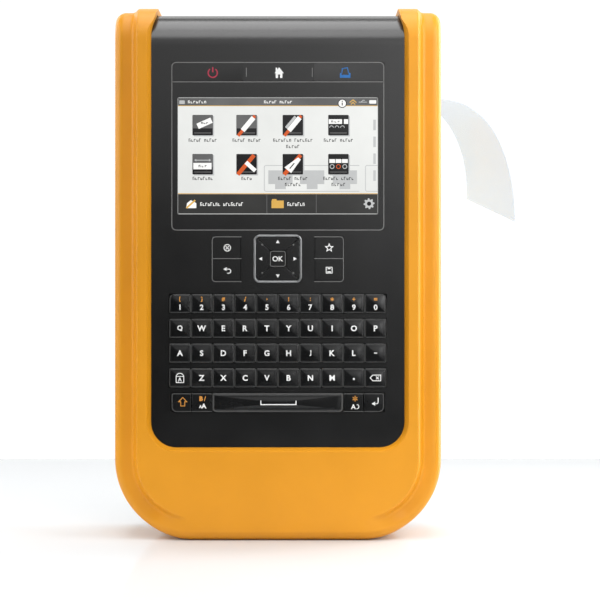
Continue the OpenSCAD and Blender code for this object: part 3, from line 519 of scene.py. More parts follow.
bumperLook = {"bandOut": 24.5, "grooveOut": 24.15, "grooveEnd": 9.0, "ridgeStart": 11.2, "outerRound": 4.8,
              "grooveRound": 2.2, "cornerRadius": 38, "hornRadius": 5, "rollRadius": 16, "topFall": 0.33,
              "openingFlare": 1.9, "flareDepth": 3.0, "topNarrow": 2.5, "noseRadius": 6.5, "fadeFrom": 48,
              "fadeTo": 86, "edge": 0.5, "topRoom": 16.5, "lowRoom": 9, "sectionWidth": 22, "sectionFoot": 13,
              "openingLow": 44, "openingHalf": 60, "openingCorner": 12, "openingShoulder": 24, "lipThick": 10,
              "socketBelow": 4, "socketAbove": 9, "slotLow": 204, "slotHigh": 216, "slotGap": 2.5,
              "rollSteps": 16, "sideSteps": 6, "cornerSteps": 28}


# outline of the opening, drawn in a little over the rolled top
def openingLine(rollUp, top, grow=0.0):
    low, wide, narrow = bumperLook["openingLow"], bumperLook["openingHalf"], bumperLook["topNarrow"]
    corner, shoulder = bumperLook["openingCorner"] + grow, bumperLook["openingShoulder"]
    return filletLine([(-wide - grow, low - grow, corner), (wide + grow, low - grow, corner),
                       (wide + grow, rollUp + 4, shoulder), (wide + grow - narrow, top - 1.5, 2),
                       (wide - narrow, top + 20, 0), (narrow - wide, top + 20, 0),
                       (narrow - wide - grow, top - 1.5, 2), (-wide - grow, rollUp + 4, shoulder)],
                      closed=True, steps=10)


def buildBumper():
    look, edge, shell = bumperLook, span("bumper"), span("front_shell")
    halfWidth, front, rear, top = edge["right"], edge["front"], edge["rear"], edge["top"]
    rollUp, rollOut = top - look["rollRadius"], front - look["rollRadius"]
    section = filletLine([(look["sectionWidth"], front, 0), (look["ridgeStart"], front, 0.9),
                          (look["grooveEnd"], look["grooveOut"], look["grooveRound"]),
                          (0, look["bandOut"], look["outerRound"]), (0, look["sectionFoot"], 0)], steps=9)
    section = [Vector((max(0, p.x), p.y)) for p in section]
    skirt = [k / 10 for k in range(1, 11)]

    def reachUp(p):
        fall = look["topFall"] * min(front - p.y, front - look["grooveOut"])
        if p.x < look["hornRadius"]:
            fall += look["hornRadius"] - math.sqrt(look["hornRadius"] ** 2 - (look["hornRadius"] - p.x) ** 2)
        return look["rollRadius"] - fall

    def nose(p):
        r = look["noseRadius"]
        return front - (r - math.sqrt(r * r - (r - p.x) ** 2) if p.x < r else 0)

    def station(kind, value, side):
        row = []
        fade = 1.0 if kind == "base" else 0.0
        if kind == "corner":
            fade = (math.degrees(value) - look["fadeFrom"]) / (look["fadeTo"] - look["fadeFrom"])
            fade = min(1, max(0, fade))
            fade = fade ** 2 * (3 - 2 * fade)
        for p in section:
            x, up, out = halfWidth - p.x, value, p.y + fade * max(0, nose(p) - p.y) * (p.y > 20)
            if kind == "roll":
                up = rollUp + reachUp(p) * math.sin(value)
                out = rollOut + (p.y - rollOut) * math.cos(value)
            elif kind == "corner":
                r, c = look["cornerRadius"] - p.x, halfWidth - look["cornerRadius"]
                x, up = c + r * math.cos(value), look["cornerRadius"] - r * math.sin(value)
            elif kind == "base":
                x, up = value, p.x
            row.append((side * x, up, out))
        x, up, out = row[-1]
        row += [(x, up, out + (rear - out) * k) for k in skirt]
        return row

    rollSteps, sideSteps, cornerSteps = look["rollSteps"], look["sideSteps"], look["cornerSteps"]
    half = [("roll", math.radians(90 - 90 * k / rollSteps)) for k in range(rollSteps + 1)]
    half += [("side", rollUp - (rollUp - look["cornerRadius"]) * k / sideSteps) for k in range(1, sideSteps + 1)]
    half += [("corner", math.radians(90 * k / cornerSteps)) for k in range(1, cornerSteps + 1)]
    rows = [station(kind, value, -1) for kind, value in half]
    rows += [station("base", x, -1) for x in (15, -15)]
    rows += [station(kind, value, 1) for kind, value in reversed(half)]
    corners = [at(*p) for row in rows for p in row]
    wide = len(rows[0])
    faces = gridFaces(len(rows), wide)
    last = len(rows) - 1
    for r in range(rollSteps):   # front, between the arms over the roll
        faces.append((r * wide, (r + 1) * wide, (last - r - 1) * wide, (last - r) * wide))
    faces.append(tuple(r * wide for r in range(rollSteps, last - rollSteps + 1)))
    # horn tops, run back from the roll
    n = len(section)
    outs = [rows[0][n - 1][2] + (rear - rows[0][n - 1][2]) * k for k in [0] + skirt]
    flats = []
    for side in (-1, 1):
        flats.append(len(corners))
        corners += [at(side * (halfWidth - p.x), rollUp + reachUp(p), out) for out in outs for p in section]
        faces += gridFaces(len(outs), n, flats[-1])
    for r in range(len(outs) - 1):
        faces.append((flats[0] + r * n, flats[0] + (r + 1) * n, flats[1] + (r + 1) * n, flats[1] + r * n))
    back = [r * wide + wide - 1 for r in range(len(rows))]
    ends = (len(outs) - 1) * n
    back += [flats[1] + ends + i for i in reversed(range(n - 1))] + [flats[0] + ends + i for i in range(n - 1)]
    faces.append(tuple(back))
    piece = tidyMesh(newPiece("bumper_body", corners, faces))
    # room for the casing, then the flared opening round the face
    wall = halfWidth - shell["right"]
    # the second one stops lower, under the rolled top
    for name, high, start, end in (("cavity", shell["top"], rear - 5, look["topRoom"]),
                                   ("room", rollUp + look["lowRoom"], 0, front - look["lipThick"])):
        ring = roundRect(-shell["right"], wall, shell["right"], high,
                         [look["cornerRadius"] - wall, look["cornerRadius"] - wall, 1.5, 1.5], steps=16)
        carve(piece, loft(name, [(ring, start), (ring, end)]))
    flare = look["openingFlare"]
    carve(piece, loft("opening", [(openingLine(rollUp, top, grow), out) for grow, out in
                                  ((0, rear - 5), (0, front - look["flareDepth"]), (flare, front),
                                   (flare + 1, front + 1.6))]))
    jack, port, strip = span("dc_jack"), span("usb_port"), span("label_strip")
    carve(piece, blockCutter(-halfWidth - 2, -halfWidth + 12, port["bottom"] - look["socketBelow"],
                             jack["top"] + look["socketAbove"], -20, -2))
    carve(piece, blockCutter(halfWidth - 12, halfWidth + 2, look["slotLow"], look["slotHigh"],
                             strip["rear"] - look["slotGap"], strip["front"] + look["slotGap"]))
    tidyMesh(piece, flatten=0.5)
    soften(piece, look["edge"], angle=50, segments=3)
    smooth(piece, 38)
    return fit(piece, "housing", "bumper_rubber", finish["bumper_rubber"], "bumper")


bumperPiece = buildBumper()
print("bumper:", len(bumperPiece.data.polygons), "faces")


# parts that keep their CAD shape, with softened edges

def cadShape(node, slotName, edge=0.3, flatten=0.6, angle=35, material=None):
    piece = bpy.data.objects.new(node + "_shape", frame["nodes"][node].data.copy())
    scene.collection.objects.link(piece)
    tidyMesh(piece, flatten=flatten, turnOut=False)
    if edge:
        soften(piece, edge, angle)
    smooth(piece, 34)
    return fit(piece, bodyOf(node), slotName, material or finish[slotName], node)


keptShapes = {
    "front_shell": ("casing_plastic", 0.25), "rear_shell": ("rear_plastic", 0.35),
    "screen_bezel": ("bezel_gloss", 0.1), "cassette_door": ("rear_plastic", 0.35),
    "battery_door": ("rear_plastic", 0.3), "door_pins": ("steel_bright", 0.12),
    "door_latch": ("rear_plastic", 0.2), "case_screws": ("steel_bright", 0.12), "rear_feet": ("foot_rubber", 0.4),
    "display_module": ("display_metal", 0.25), "main_board": ("board_green", 0.12),
    "battery_pack": ("battery_wrap", 0.8),
    "battery_contacts": ("contact_brass", 0.2), "cassette_case": ("cassette_plastic", 0.3),
    "cassette_lid": ("cassette_plastic", 0.25), "tape_roll": ("label_tape", 0.2),
    "print_chassis": ("steel_plate", 0.15), "print_head": ("head_ceramic", 0.25),
    "platen_shaft": ("steel_bright", 0.2), "platen_roller": ("platen_rubber", 0.4),
    "platen_bushes": ("bush_bronze", 0.12), "feed_motor": ("motor_can", 0.4), "idler_axle": ("steel_bright", 0.15),
    "platen_gear": ("gear_white", 0.08), "motor_pinion": ("gear_white", 0.08), "idler_gear": ("gear_white", 0.08),
    "takeup_drive": ("gear_white", 0.08), "ribbon_supply_spool": ("ribbon_film", 0.2),
    "ribbon_takeup_spool": ("ribbon_film", 0.2), "cutter_anvil": ("steel_plate", 0.15),
    "cutter_blade": ("steel_bright", 0.12), "usb_port": ("socket_metal", 0.15), "dc_jack": ("socket_black", 0.2),
    "keypad_mat": ("mat_rubber", 0.0), "latch_spring": ("steel_bright", 0.0),
}
for node, (slotName, edge) in keptShapes.items():
    cadShape(node, slotName, edge)
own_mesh(bpy.data.objects["latch_spring_shape"])
print("kept shapes:", len(keptShapes))

# keys

keyLook = {"rim": 0.26, "crown": 0.42, "edgeRound": 0.4, "gap": 0.02, "corner": 0.7, "outerCorner": 2.4,
           "footOver": 0.8, "footThick": 1.5, "rimFoot": 24, "between": 0.3, "ink": 0.01}


def crownAt(width, height, crown):
    return lambda x, up: crown * max(0, 1 - (2 * x / width) ** 2) * max(0, 1 - (2 * up / height) ** 2)


# a crowned cap about the origin, its top edge at out = 0
def capShape(name, width, height, radii, depth, crown, rounding):
    dome = crownAt(width, height, crown)
    ring = lambda inset: roundRect(-width / 2 + inset, -height / 2 + inset, width / 2 - inset, height / 2 - inset,
                                   [max(0.1, r - inset) for r in radii], steps=5)
    levels = [(0, -depth), (0, -rounding)]
    levels += [(rounding * (1 - math.cos(a)), rounding * (math.sin(a) - 1))
               for a in (math.radians(22.5 * k) for k in range(1, 5))]
    lines = [[(p.x, p.y, out + dome(p.x, p.y)) for p in ring(inset)] for inset, out in levels]
    flat = ring(rounding)
    for share in (0.93, 0.84, 0.72, 0.58, 0.42, 0.24, 0.1):
        lines.append([(p.x * share, p.y * share, dome(p.x * share, p.y * share)) for p in flat])
    corners = [at(*p) for line in lines for p in line]
    piece = tidyMesh(newPiece(name, corners, ringFaces(len(lines), len(flat)) + capEnds(len(lines), len(flat))))
    piece.data.shade_smooth()
    piece.data.set_sharp_from_angle(angle=math.radians(50))
    return piece


# the grey outline round a cap
def rimShape(name, width, height, radii, rim, depth):
    outer = roundRect(-width / 2, -height / 2, width / 2, height / 2, radii)
    inner = roundRect(-width / 2 + rim, -height / 2 + rim, width / 2 - rim, height / 2 - rim,
                      [max(0.15, r - rim) for r in radii])
    corners = [at(p.x, p.y, out) for line, out in ((outer, -depth), (outer, -0.08), (inner, 0), (inner, -depth))
               for p in line]
    return tidyMesh(newPiece(name, corners, ringFaces(4, len(outer), looped=True)))


def buildKey(node, centres, width, height, radii=None, rim=None, crown=None, ends=None):
    body, edge = bodyOf(node), span(node)
    rim = keyLook["rim"] if rim is None else rim
    crown = keyLook["crown"] if crown is None else crown
    top, plain = edge["front"], [keyLook["corner"]] * 4
    groups = [(centres, radii or plain)]
    if ends:
        groups = [(centres[1:-1], plain), (centres[:1], ends[0]), (centres[-1:], ends[1])]
    caps, rims = [], []
    for places, corner in groups:
        spots = [at(x, up, top) for x, up in places]
        inset = rim + keyLook["gap"] if rim else 0
        cap = capShape("cap", width - 2 * inset, height - 2 * inset, [max(0.3, r - inset) for r in corner],
                       top - edge["rear"], crown, keyLook["edgeRound"])
        caps.append(copies(node + "_caps", cap, spots, finish["key_gloss"]))
        bpy.data.objects.remove(cap)
        if rim:
            frameShape = rimShape("rim", width, height, corner, rim, top - keyLook["rimFoot"])
            rims.append(copies(node + "_rims", frameShape, spots, inks["rimGrey"]))
            bpy.data.objects.remove(frameShape)
    foot = []
    for x, up in centres:   # the foot under each cap, wider than its opening above and below
        foot.append(blockCutter(x - width / 2, x + width / 2, up - height / 2 - keyLook["footOver"],
                                up + height / 2 + keyLook["footOver"], edge["rear"],
                                edge["rear"] + keyLook["footThick"]))
    made = merge(node + "_keys", caps + foot)
    made.data.shade_smooth()
    made.data.set_sharp_from_angle(angle=math.radians(40))
    fit(made, body, "key_gloss", finish["key_gloss"], node)
    if rims:
        fit(merge(node + "_outlines", rims), body, "trim_silver", inks["rimGrey"])
    return crownAt(width - 2 * rim, height - 2 * rim, crown), top


def keyHeight(edge):
    return edge["top"] - edge["bottom"] - 2 * keyLook["footOver"]


# centres, width and height of the ten keys in a row
def rowPlan(node):
    edge, between = span(node), keyLook["between"]
    pitch = (edge["right"] - edge["left"] + between) / 10
    centres = [(edge["left"] - between / 2 + pitch * (k + 0.5), edge["up"]) for k in range(10)]
    return centres, pitch - between, keyHeight(edge)


# height of a cap's crown under a mark on it
def crownUnder(dome, x, up):
    return lambda px, pu: dome(px - x, pu - up)


legendLook = {"height": 2.75, "digit": 0.97, "digitDown": 1.75, "signUp": 2.05, "weight": 0.03, "starReach": 0.85,
              "starLine": 0.34}
rows = {"number_keys": "1234567890", "upper_letter_keys": "QWERTYUIOP", "middle_letter_keys": "ASDFGHJKL-",
        "lower_letter_keys": " ZXCVBNM. "}
signs = "[]#/'!:*+="
signHeights = {"[": 2.3, "]": 2.3, "#": 1.9, "/": 2.3, "'": 0.8, "!": 2.1, ":": 1.5, "*": 1.5, "+": 1.5, "=": 1.1}
for node, letters in rows.items():
    centres, width, height = rowPlan(node)
    small, big = keyLook["corner"], keyLook["outerCorner"]
    ends = [[small, small, small, big], [small, small, big, small]] if node == "number_keys" else None
    dome, top = buildKey(node, centres, width, height, ends=ends)
    out, weight = top + keyLook["ink"], legendLook["weight"]
    white, orange = drawing(), drawing()
    for letter, sign, (x, up) in zip(letters, signs, centres):
        over = crownUnder(dome, x, up)
        if node == "number_keys":
            digitUp, signUp = up - legendLook["digitDown"], up + legendLook["signUp"]
            addText(white, letter, x, digitUp, legendLook["height"] * legendLook["digit"], out, weight=weight,
                    lift=over)
            if sign == "*":
                addStar(orange, x, signUp, legendLook["starReach"], legendLook["starLine"], out, over)
            else:
                addText(orange, sign, x, signUp, signHeights[sign], out, weight=weight, lift=over)
        elif letter == "-":
            addPrism(white, roundRect(x - 0.75, up - 0.2, x + 0.75, up + 0.25, 0.05), out, lift=over)
        elif letter == ".":
            addPrism(white, arc(x, up - 0.5, 0.5, 0, 345, 15), out, lift=over)
        elif letter != " ":
            addText(white, letter, x, up, legendLook["height"], out, weight=weight, lift=over)
    if node == "lower_letter_keys":   # capitals lock on the first key, delete on the last
        x, up = centres[0]
        over = crownUnder(dome, x, up)
        addStroke(white, [(x - 1.8, up + 0.4), (x - 1.8, up - 2.2), (x + 1.8, up - 2.2), (x + 1.8, up + 0.4)]
                  + arc(x, up + 0.4, 1.8, 0, 180, 12), 0.36, out, lift=over)
        addStroke(white, [(x - 1.8, up + 0.7), (x + 1.8, up + 0.7)], 0.3, out, lift=over)
        addText(white, "A", x, up - 0.75, 1.9, out, weight=0.02, lift=over)
        x, up = centres[-1]
        over = crownUnder(dome, x, up)
        addStroke(white, [(x - 2.6, up), (x - 1.3, up + 1.35), (x + 2.4, up + 1.35), (x + 2.4, up - 1.35),
                          (x - 1.3, up - 1.35)], 0.38, out, closed=True, lift=over)
        for s in (-1, 1):
            addStroke(white, [(x + 0.2, up - 0.65 * s), (x + 1.5, up + 0.65 * s)], 0.36, out, lift=over)
    printOn(node, "_legends", white, "white")
    if orange["corners"]:
        printOn(node, "_signs", orange, "orange")

# bottom row: two keys, space bar, two keys
endLook = {"crown": 0.1, "spaceCrown": 0.5, "spaceRim": 0.75, "line": 0.42, "corner": 0.5, "innerTop": 0.8,
           "outerRadius": 2.2, "spaceCorner": 1.8, "sink": 0.02, "lineThick": 0.06}
for node in ("shift_key", "font_key", "symbol_key", "enter_key"):
    edge = span(node)
    side = -1 if edge["x"] < 0 else 1
    outerKey = node in ("shift_key", "enter_key")
    r, small, inner = endLook["outerRadius"], endLook["corner"], endLook["innerTop"]
    radii = [small] * 4 if not outerKey else ([r, small, small, inner] if side < 0 else [small, r, inner, small])
    buildKey(node, [(edge["x"], edge["up"])], edge["right"] - edge["left"], keyHeight(edge), radii=radii, rim=0,
             crown=endLook["crown"])
    m = endLook["line"] / 2 + 0.05
    low, high = edge["bottom"] + keyLook["footOver"] + m, edge["top"] - keyLook["footOver"] - m
    xIn, xOut = (edge["right"], edge["left"] + m) if side < 0 else (edge["left"], edge["right"] - m)
    paths = [filletLine([(xIn, low, 0), (xOut, low, r), (xOut, high, 0.9), (xIn, high, 0)])]
    if not outerKey:
        paths = [[(edge["left"], up), (edge["right"], up)] for up in (low, high)]
    lines = drawing()
    for path in paths:
        addStroke(lines, path, endLook["line"], edge["front"] - endLook["sink"], endLook["lineThick"])
    printOn(node, "_lines", lines, "rimGrey")

space = span("space_key")
wideCorner, small = endLook["spaceCorner"], endLook["corner"]
dome, top = buildKey("space_key", [(space["x"], space["up"])], space["right"] - space["left"], keyHeight(space),
                     radii=[wideCorner, wideCorner, small, small], rim=endLook["spaceRim"],
                     crown=endLook["spaceCrown"])
white = drawing()
addStroke(white, [(-8, space["up"] + 1.0)] + [(x, space["up"] - 0.9) for x in (-8, -4, 0, 4, 8.6)]
          + [(8.6, space["up"] + 1.0)], 0.5, top + 0.02, lift=crownUnder(dome, space["x"], space["up"]))
printOn("space_key", "_legend", white, "white")

edge, orange = span("shift_key"), drawing()
x, up, out = edge["x"] + 0.6, edge["up"] + 0.35, edge["front"] + endLook["crown"] + keyLook["ink"]
addStroke(orange, [(x, up + 2.1), (x + 1.9, up + 0.1), (x + 0.95, up + 0.1), (x + 0.95, up - 1.9),
                   (x - 0.95, up - 1.9), (x - 0.95, up + 0.1), (x - 1.9, up + 0.1)], 0.36, out, closed=True)
printOn("shift_key", "_legend", orange, "orange")

edge, white, orange = span("font_key"), drawing(), drawing()
for sheet, letter, dx, du, height, weight in (
        (orange, "B", -0.4, 1.9, 2.3, 0.06), (orange, "/", 1.4, 1.9, 2.3, 0.02),
        (white, "A", -0.7, -1.9, 1.5, 0.03), (white, "A", 0.9, -1.6, 2.4, 0.03)):
    addText(sheet, letter, edge["x"] + dx, edge["up"] + du, height, out, weight=weight)
printOn("font_key", "_legend", white, "white")
printOn("font_key", "_sign", orange, "orange")

edge, white, orange = span("symbol_key"), drawing(), drawing()
addStar(orange, edge["x"] + 0.7, edge["up"] + 1.9, 1.3, 0.42, out)
addText(white, "A", edge["x"] - 0.1, edge["up"] - 1.9, 2.3, out, weight=0.02)
addStroke(white, arc(edge["x"] + 1.5, edge["up"] - 1.9, 1.0, -100, 90, 12), 0.35, out)
printOn("symbol_key", "_legend", white, "white")
printOn("symbol_key", "_sign", orange, "orange")

edge, white = span("enter_key"), drawing()
x, up = edge["x"] + 0.9, edge["up"] + 0.5
addStroke(white, filletLine([(x + 1.0, up + 1.9, 0), (x + 1.0, up - 1.0, 0.7), (x - 0.7, up - 1.0, 0)]), 0.42, out)
addPrism(white, [(x - 2.1, up - 1.0), (x - 0.4, up - 2.0), (x - 0.4, up)], out)
printOn("enter_key", "_legend", white, "white")
print("letter keys done")

# arrow pad and the keys beside it

navLook = {"line": 0.34, "dot": 0.42, "arrow": 1.75, "arrowReach": 8.2, "corner": 2.8, "dotAcross": 7.35,
           "dotUp": 6.7, "okRound": 0.9, "bracketNear": 17.2, "bracketFar": 31.05, "bracketRaise": 0.42}
ring = span("nav_ring")
nav = {"x": ring["x"], "up": ring["up"]}


def aroundPad(half, radius, steps=5):
    return roundRect(nav["x"] - half, nav["up"] - half, nav["x"] + half, nav["up"] + half, radius, steps=steps)


def ringPiece():
    half = (ring["right"] - ring["left"]) / 2
    profile = ((0, -0.05), (0, 0.35), (0.12, 0.5), (0.32, 0.58), (0.68, 0.58), (0.88, 0.5), (1.0, 0.35),
               (1.0, -0.05))   # inset from the outer side, height
    lines = [(aroundPad(half - inset, navLook["corner"] - inset, 8), ring["rear"] + level)
             for inset, level in profile]
    corners = [at(p.x, p.y, out) for line, out in lines for p in line]
    piece = tidyMesh(newPiece("nav_ring_shape", corners, ringFaces(len(lines), len(lines[0][0]), looped=True)))
    smooth(piece, 60)
    return fit(piece, "housing", "trim_silver", finish["trim_silver"], "nav_ring")


ringPiece()


seamLook = {"left": 0.08, "band": 0.16}   # gap that stays, and how far in from a side its corners are moved


def closeSeams(names):
    for first, second in zip(names, names[1:]):
        a, b = span(first)["right"], span(second)["left"]
        reach = (b - a - seamLook["left"]) / 2
        for node, side, move in ((first, a, reach), (second, b, -reach)):
            for v in bpy.data.objects[node + "_shape"].data.vertices:
                if abs(v.co.x * 1000 - side) < seamLook["band"]:
                    v.co.x += move * 0.001


functionKeys = ("power_key", "home_key", "print_key")
for node in ("up_key", "down_key", "left_key", "right_key", "ok_key", "cancel_key", "back_key", "favourite_key",
             "save_key", *functionKeys):
    cadShape(node, "key_gloss", 0.12, material=finish["bezel_gloss"])
closeSeams(functionKeys)

for node, turn in (("right_key", 0), ("up_key", 90), ("left_key", 180), ("down_key", 270)):
    marks = drawing()
    c, s = math.cos(math.radians(turn)), math.sin(math.radians(turn))
    size, reach = navLook["arrow"], navLook["arrowReach"]
    tip = [(reach + size * 0.45, 0), (reach - size * 0.45, size * 0.5), (reach - size * 0.45, -size * 0.5)]
    addPrism(marks, [(nav["x"] + c * a - s * b, nav["up"] + s * a + c * b) for a, b in tip],
             span(node)["front"] + keyLook["ink"])
    printOn(node, "_mark", marks, "white")
edge, marks, frameMarks = span("ok_key"), drawing(), drawing()
addText(marks, "OK", edge["x"], edge["up"], 2.5, edge["front"] + keyLook["ink"], weight=0.02)
addStroke(frameMarks, aroundPad((edge["right"] - edge["left"]) / 2 - 0.15, navLook["okRound"]), 0.3,
          edge["front"] - 0.01, closed=True)
printOn("ok_key", "_mark", marks, "white")
printOn("ok_key", "_frame", frameMarks, "lineGrey")

# four small dots between the arrows, each on the key left or right of it
for node, side in (("left_key", -1), ("right_key", 1)):
    dots = drawing()
    for high in (-1, 1):
        x, up = nav["x"] + side * navLook["dotAcross"], nav["up"] + high * navLook["dotUp"]
        addPrism(dots, arc(x, up, navLook["dot"], 0, 337.5, 15), span(node)["front"] + keyLook["ink"])
    printOn(node, "_dots", dots, "lineGrey")

# brackets beside the pad, on one sheet with the frame round the screen
lines = drawing()
face = span("front_shell")["front"] + navLook["bracketRaise"]
top, mid, low = nav["up"] + 10.4, nav["up"] + 0.1, nav["up"] - 10.8
for side in (-1, 1):
    xOut, xIn = nav["x"] + side * navLook["bracketFar"], nav["x"] + side * navLook["bracketNear"]
    addStroke(lines, filletLine([(xIn, top, 0), (xOut, top, 1.6), (xOut, low, 1.6), (xIn, low, 0)]),
              navLook["line"], face, 0.05)
    addStroke(lines, [(xOut, mid), (xIn, mid)], navLook["line"], face, 0.05)

# marks of the four side keys
sideLook = {"line": 0.4, "leftMark": -23.9, "rightMark": 24.3}
edge, marks = span("cancel_key"), drawing()
x, up, out, line = nav["x"] + sideLook["leftMark"], edge["up"], edge["front"] + keyLook["ink"], sideLook["line"]
addStroke(marks, arc(x, up, 1.55, 0, 345, 23), line, out, closed=True)
for s in (-1, 1):
    addStroke(marks, [(x - 0.75, up - 0.75 * s), (x + 0.75, up + 0.75 * s)], line, out)
printOn("cancel_key", "_mark", marks, "white")
marks, up = drawing(), span("back_key")["up"] - 0.2
addPrism(marks, [(x - 1.9, up + 0.5), (x - 0.3, up + 1.45), (x - 0.3, up - 0.45)], out)
addStroke(marks, [(x - 0.5, up + 0.5), (x + 0.7, up + 0.5)] + arc(x + 0.7, up - 0.45, 0.95, 90, -90, 10)
          + [(x - 0.1, up - 1.4)], 0.42, out)
printOn("back_key", "_mark", marks, "white")
marks, x, up = drawing(), nav["x"] + sideLook["rightMark"], span("favourite_key")["up"]
points = [(1.8 if k % 2 == 0 else 0.8, math.radians(36 * k)) for k in range(10)]
addStroke(marks, [(x + r * math.sin(a), up + r * math.cos(a)) for r, a in points], line, out, closed=True)
printOn("favourite_key", "_mark", marks, "white")
marks, up = drawing(), span("save_key")["up"] - 0.2
addStroke(marks, roundRect(x - 1.4, up - 1.4, x + 1.4, up + 1.4, 0.2), line, out, closed=True)
addPrism(marks, roundRect(x - 0.9, up - 1.4, x + 0.9, up - 0.5, 0.05), out)
addPrism(marks, roundRect(x - 0.7, up + 0.5, x + 0.7, up + 1.4, 0.05), out)
printOn("save_key", "_mark", marks, "white")
print("pad and side keys done")

# frame printed round the screen, and the three function keys

bezel = span("screen_bezel")
frameLook = {"line": 0.45, "radius": 2.0, "divider": 9.4, "tick": 4.3, "ticks": (-14.9, 16.3), "tickLine": 0.34,
             "tickDown": 2.7, "over": 0.1, "thick": 0.06, "power": -30.8, "home": 0.6, "print": 31.9,
             "iconDown": 5.0}
top, out, over = bezel["top"] + frameLook["over"], bezel["front"] - 0.01, frameLook["over"]
m = frameLook["line"] / 2
border = roundRect(bezel["left"] + m - over, bezel["bottom"] + m - over, bezel["right"] - m + over, top - m,
                   frameLook["radius"])
addStroke(lines, border, frameLook["line"], out, frameLook["thick"], closed=True)
addStroke(lines, [(bezel["left"], top - frameLook["divider"]), (bezel["right"], top - frameLook["divider"])],
          frameLook["line"], out, frameLook["thick"])
for x in frameLook["ticks"]:
    addStroke(lines, [(x, top - frameLook["tickDown"]), (x, top - frameLook["tickDown"] - frameLook["tick"])],
              frameLook["tickLine"], out, frameLook["thick"])
printSheet("printed_lines", lines, "housing", "trim_silver", inks["lineGrey"])

x, up, out = frameLook["power"], top - frameLook["iconDown"], span("power_key")["front"] + keyLook["ink"]
marks = drawing()
addStroke(marks, arc(x, up - 0.15, 2.15, 125, 415, 26), 0.62, out)
addStroke(marks, [(x, up + 2.6), (x, up + 0.1)], 0.62, out)
printOn("power_key", "_mark", marks, "crimson")
marks, x = drawing(), frameLook["home"]
addPrism(marks, [(x - 1.6, up - 2.6), (x - 0.5, up - 2.6), (x - 0.5, up - 0.9), (x + 0.5, up - 0.9),
                 (x + 0.5, up - 2.6), (x + 1.6, up - 2.6), (x + 1.6, up - 0.3), (x + 2.2, up - 0.3), (x, up + 2.5),
                 (x - 0.9, up + 1.35), (x - 0.9, up + 2.3), (x - 1.6, up + 2.3), (x - 1.6, up + 0.45),
                 (x - 2.2, up - 0.3), (x - 1.6, up - 0.3)], out)
printOn("home_key", "_mark", marks, "white")
marks, x = drawing(), frameLook["print"]
addPrism(marks, [(x - 2.5, up - 2.5), (x + 2.5, up - 2.5), (x + 2.5, up - 0.2), (x + 1.7, up - 0.2),
                 (x + 1.7, up - 1.1), (x - 1.7, up - 1.1), (x - 1.7, up - 0.2), (x - 2.5, up - 0.2)], out)
addStroke(marks, [(x - 1.6, up - 0.4), (x - 1.4, up + 1.9), (x + 1.1, up + 2.3), (x + 1.6, up - 0.4)], 0.4, out)
printOn("print_key", "_mark", marks, "blue")

# touch screen with a plain menu

screen = span("touch_screen")
glassFace = screen["front"]
glass = loft("touch_screen_glass",
             [(roundRect(screen["left"] + i, screen["bottom"] + i, screen["right"] - i, screen["top"] - i, 0.5), o)
              for i, o in ((0, screen["rear"]), (0, glassFace - 0.12), (0.12, glassFace))])
smooth(glass, 40)
fit(glass, "housing", "screen_glass", finish["screen_glass"], "touch_screen")

menuLook = {"side": 0.1, "foot": 0.15, "raise": 0.01, "thick": 0.02, "step": 0.03, "captionLine": 0.30}
left, right = screen["left"] + menuLook["side"], screen["right"] - menuLook["side"]
base, layer = screen["bottom"] + menuLook["foot"], glassFace + menuLook["raise"]
ui = {name: drawing() for name in ("screenGrey", "screenFoot", "screenDark", "screenPale", "screenWhite",
                                   "screenAmber", "screenOrange")}


# heights in the menu count from the screen's lower edge
def patch(colour, outline, rise):
    addPrism(ui[colour], [(p[0], base + p[1]) for p in outline], layer + rise, menuLook["thick"])


def pen(colour, path, width, rise=0.03, closed=False):
    addStroke(ui[colour], [(p[0], base + p[1]) for p in path], width, layer + rise, menuLook["thick"],
              closed=closed)


def bar(colour, x0, up0, x1, up1, level=0, radius=0.0):
    patch(colour, roundRect(x0, up0, x1, up1, radius), level * menuLook["step"])


# a line of unreadable strokes standing for a caption
def words(colour, x, up, width, height=1.5, level=1):
    count, line = max(3, int(width / 1.2)), menuLook["captionLine"]
    low, rise = up - height / 2, level * menuLook["step"]
    for k in range(count):
        if count > 8 and k == count // 2:
            continue
        px = x - width / 2 + (k + 0.5) * width / count
        tall = height * (1.0, 0.72, 0.86, 0.72)[k % 4]
        across = low + line / 2 if k % 2 else low + tall - line / 2
        pen(colour, [(px - 0.3, low), (px - 0.3, low + tall)], line, rise)
        pen(colour, [(px - 0.3, across), (px + 0.42, across)], line, rise)
        if k % 3 == 0:
            pen(colour, [(px + 0.3, low), (px + 0.3, low + height * 0.6)], line, rise)


bar("screenGrey", left, 51.2, right, 54.8)
bar("screenAmber", left, 50.9, right, 51.2)
bar("screenAmber", left, 9.3, right, 9.65)
bar("screenFoot", left, 0.0, right, 9.25)
for x in (-5.2, 18.2):
    bar("screenGrey", x - 0.15, 0.2, x + 0.15, 9.2, 1)
# status row
bar("screenPale", left + 0.6, 51.9, left + 3.2, 53.6, 1, 0.3)
words("screenWhite", left + 9.0, 52.9, 9.0, 1.3)
words("screenWhite", 0.1, 52.9, 13.6, 1.3)
patch("screenDark", arc(30.5, 52.2, 2.15, 0, 345, 23), 0.05)
patch("screenWhite", arc(30.5, 52.2, 1.75, 0, 345, 23), 0.09)
pen("screenDark", [(30.5, 51.2), (30.5, 52.6)], 0.5, 0.12)
patch("screenDark", arc(30.5, 53.2, 0.3, 0, 330, 11), 0.12)
pen("screenAmber", [(34.0, 52.6), (35.6, 53.9), (37.2, 52.6)], 0.45)
pen("screenAmber", [(34.6, 51.7), (35.6, 52.7), (36.6, 51.7)], 0.45)
pen("screenPale", [(38.3, 52.8), (42.2, 52.8)], 0.3)
pen("screenPale", [(39.4, 52.8), (40.3, 53.7), (41.2, 53.7)], 0.3)
bar("screenWhite", 43.3, 52.1, 46.6, 53.7, 1, 0.3)
